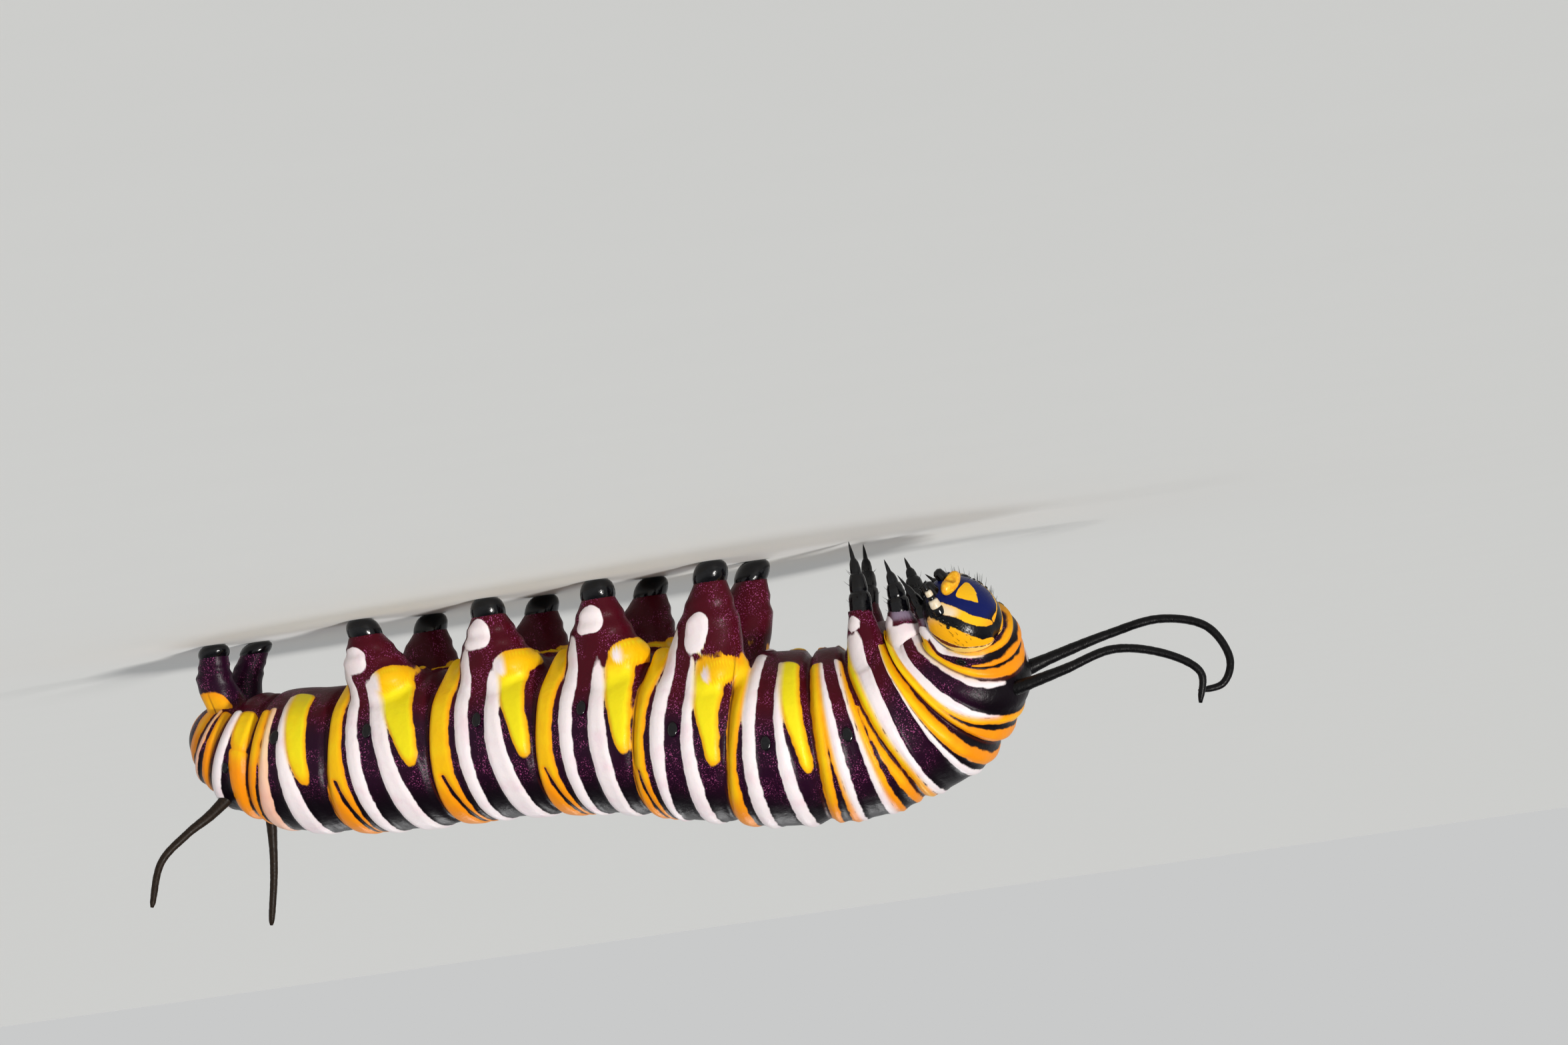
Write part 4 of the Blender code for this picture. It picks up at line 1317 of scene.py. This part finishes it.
def buildFilaments(finishes):
    for end, tone in (("front", "horn"), ("rear", "rearHorn")):
        for side in sides:
            points, reach = smoothWay(filaments[end][side])
            whole = reach[-1]
            count = round(whole / filaments["step"])
            centres, radii = [], []
            for k in range(count + 1):
                d = whole * k / count
                centres.append(pointAt(points, reach, d))
                bump = noise.noise(Vector((d * filaments["pimplesPerMm"], 0, 0)))
                radius = profileAt(filaments[end + "Profile"], d / whole)
                radii.append(radius * (1 + filaments["pimple"] * bump))
            nodes = [f"{end}_filament_{side}"]
            if end == "front":
                nodes = [f"front_filament_{side}_{part}" for part in ("base", "middle", "tip")]
            addPiece(f"{end}_horn_{side}", *tubeMesh(centres, radii, 20), finishes[tone], "horn", nodes)


def buildLarva():
    finishes = {key: makeGloss(*row) for key, row in glosses.items()}
    buildSkin(makeSkinFinish())
    print("skin done")
    buildHead(makeHeadFinish())
    buildMouth(finishes)
    print("head done")
    buildLegs(finishes)
    buildHairs(finishes["shell"])
    buildSoles(finishes["shell"])
    buildSpiracles(finishes["shell"])
    print("legs, soles and openings done")
    buildFilaments(finishes)
    print("horns done")


# floor, light and camera
studio = {
    "floor": (0.80, 0.81, 0.80),
    "floorRoughness": 0.7,
    "floorRadius": 3.0,  # in metres, like the distances below
    "horizon": (0.585, 0.59, 0.59),
    "zenith": (0.14, 0.145, 0.15),
    "skyHeights": (0.25, 0.75),  # where the tone of the horizon ends and that of the zenith starts
    "worldStrength": 1.0,
    # name, azimuth, elevation, strength, width in degrees, tint
    "suns": (
        ("key", -48, 26, 2.7, 10, (1.0, 0.97, 0.93)),
        ("rim", 150, 45, 0.5, 20, (1.0, 1.0, 1.0)),
    ),
    "sunDistance": 0.25,
    # the roll turns the animal upside down in the picture; the target is in millimetres
    "camera": {"azimuth": -25, "elevation": 3.5, "distance": 0.269, "lens": 159, "sensor": 36, "roll": 172,
               "target": (-6.82, -1.87, -1.13)},
}


def aroundVector(azimuth, elevation):
    a, e = math.radians(azimuth), math.radians(elevation)
    return Vector((math.sin(a) * math.cos(e), -math.cos(a) * math.cos(e), math.sin(e)))


def placeObject(name, data, place, turn):
    item = bpy.data.objects.new(name, data)
    item.location = place
    item.rotation_mode = "QUATERNION"
    item.rotation_quaternion = turn
    bpy.context.collection.objects.link(item)
    return item


def buildFloor():
    bm = bmesh.new()
    bmesh.ops.create_circle(bm, cap_ends=True, segments=96, radius=studio["floorRadius"])
    mesh = bpy.data.meshes.new("studio_floor")
    bm.to_mesh(mesh)
    bm.free()
    floor = bpy.data.objects.new("studio_floor", mesh)
    bpy.context.collection.objects.link(floor)
    finish, tree, shader = newFinish("paleFloor")
    tone = mixColours(tree, noiseAt(tree, 6.0, 2.0), studio["floor"], [c * 0.985 for c in studio["floor"]])
    setInputs(tree, shader, {"Base Color": tone, "Roughness": studio["floorRoughness"]})
    mesh.materials.append(finish)


def buildLight():
    world = bpy.data.worlds.new("studio")
    bpy.context.scene.world = world
    world.use_nodes = True
    tree = world.node_tree
    aim = addNode(tree, "ShaderNodeTexCoord").outputs["Generated"]
    height = addNode(tree, "ShaderNodeSeparateXYZ", Vector=aim).outputs["Z"]
    share = rampValue(tree, height, *studio["skyHeights"])
    tone = mixColours(tree, share, studio["horizon"], studio["zenith"])
    setInputs(tree, tree.nodes["Background"], {"Color": tone, "Strength": studio["worldStrength"]})
    for name, azimuth, elevation, strength, wide, tint in studio["suns"]:
        sun = bpy.data.lights.new(name, "SUN")
        sun.angle = math.radians(wide)
        sun.energy = strength
        sun.color = tint
        away = aroundVector(azimuth, elevation)
        placeObject(name, sun, away * studio["sunDistance"], away.to_track_quat("Z", "Y"))


def buildCamera():
    view = studio["camera"]
    lens = bpy.data.cameras.new("camera")
    lens.sensor_fit = "HORIZONTAL"
    lens.sensor_width = view["sensor"]
    lens.lens = view["lens"]
    lens.clip_start = 0.001
    away = aroundVector(view["azimuth"], view["elevation"])
    turn = away.to_track_quat("Z", "Y") @ Quaternion((0, 0, 1), math.radians(view["roll"]))
    camera = placeObject("camera", lens, Vector(view["target"]) * mm + away * view["distance"], turn)
    bpy.context.scene.camera = camera


buildLarva()
buildFloor()
buildLight()
buildCamera()
bpy.context.scene.view_settings.view_transform = "Standard"
print("floor, light and camera done")

bpy.context.view_layer.update()
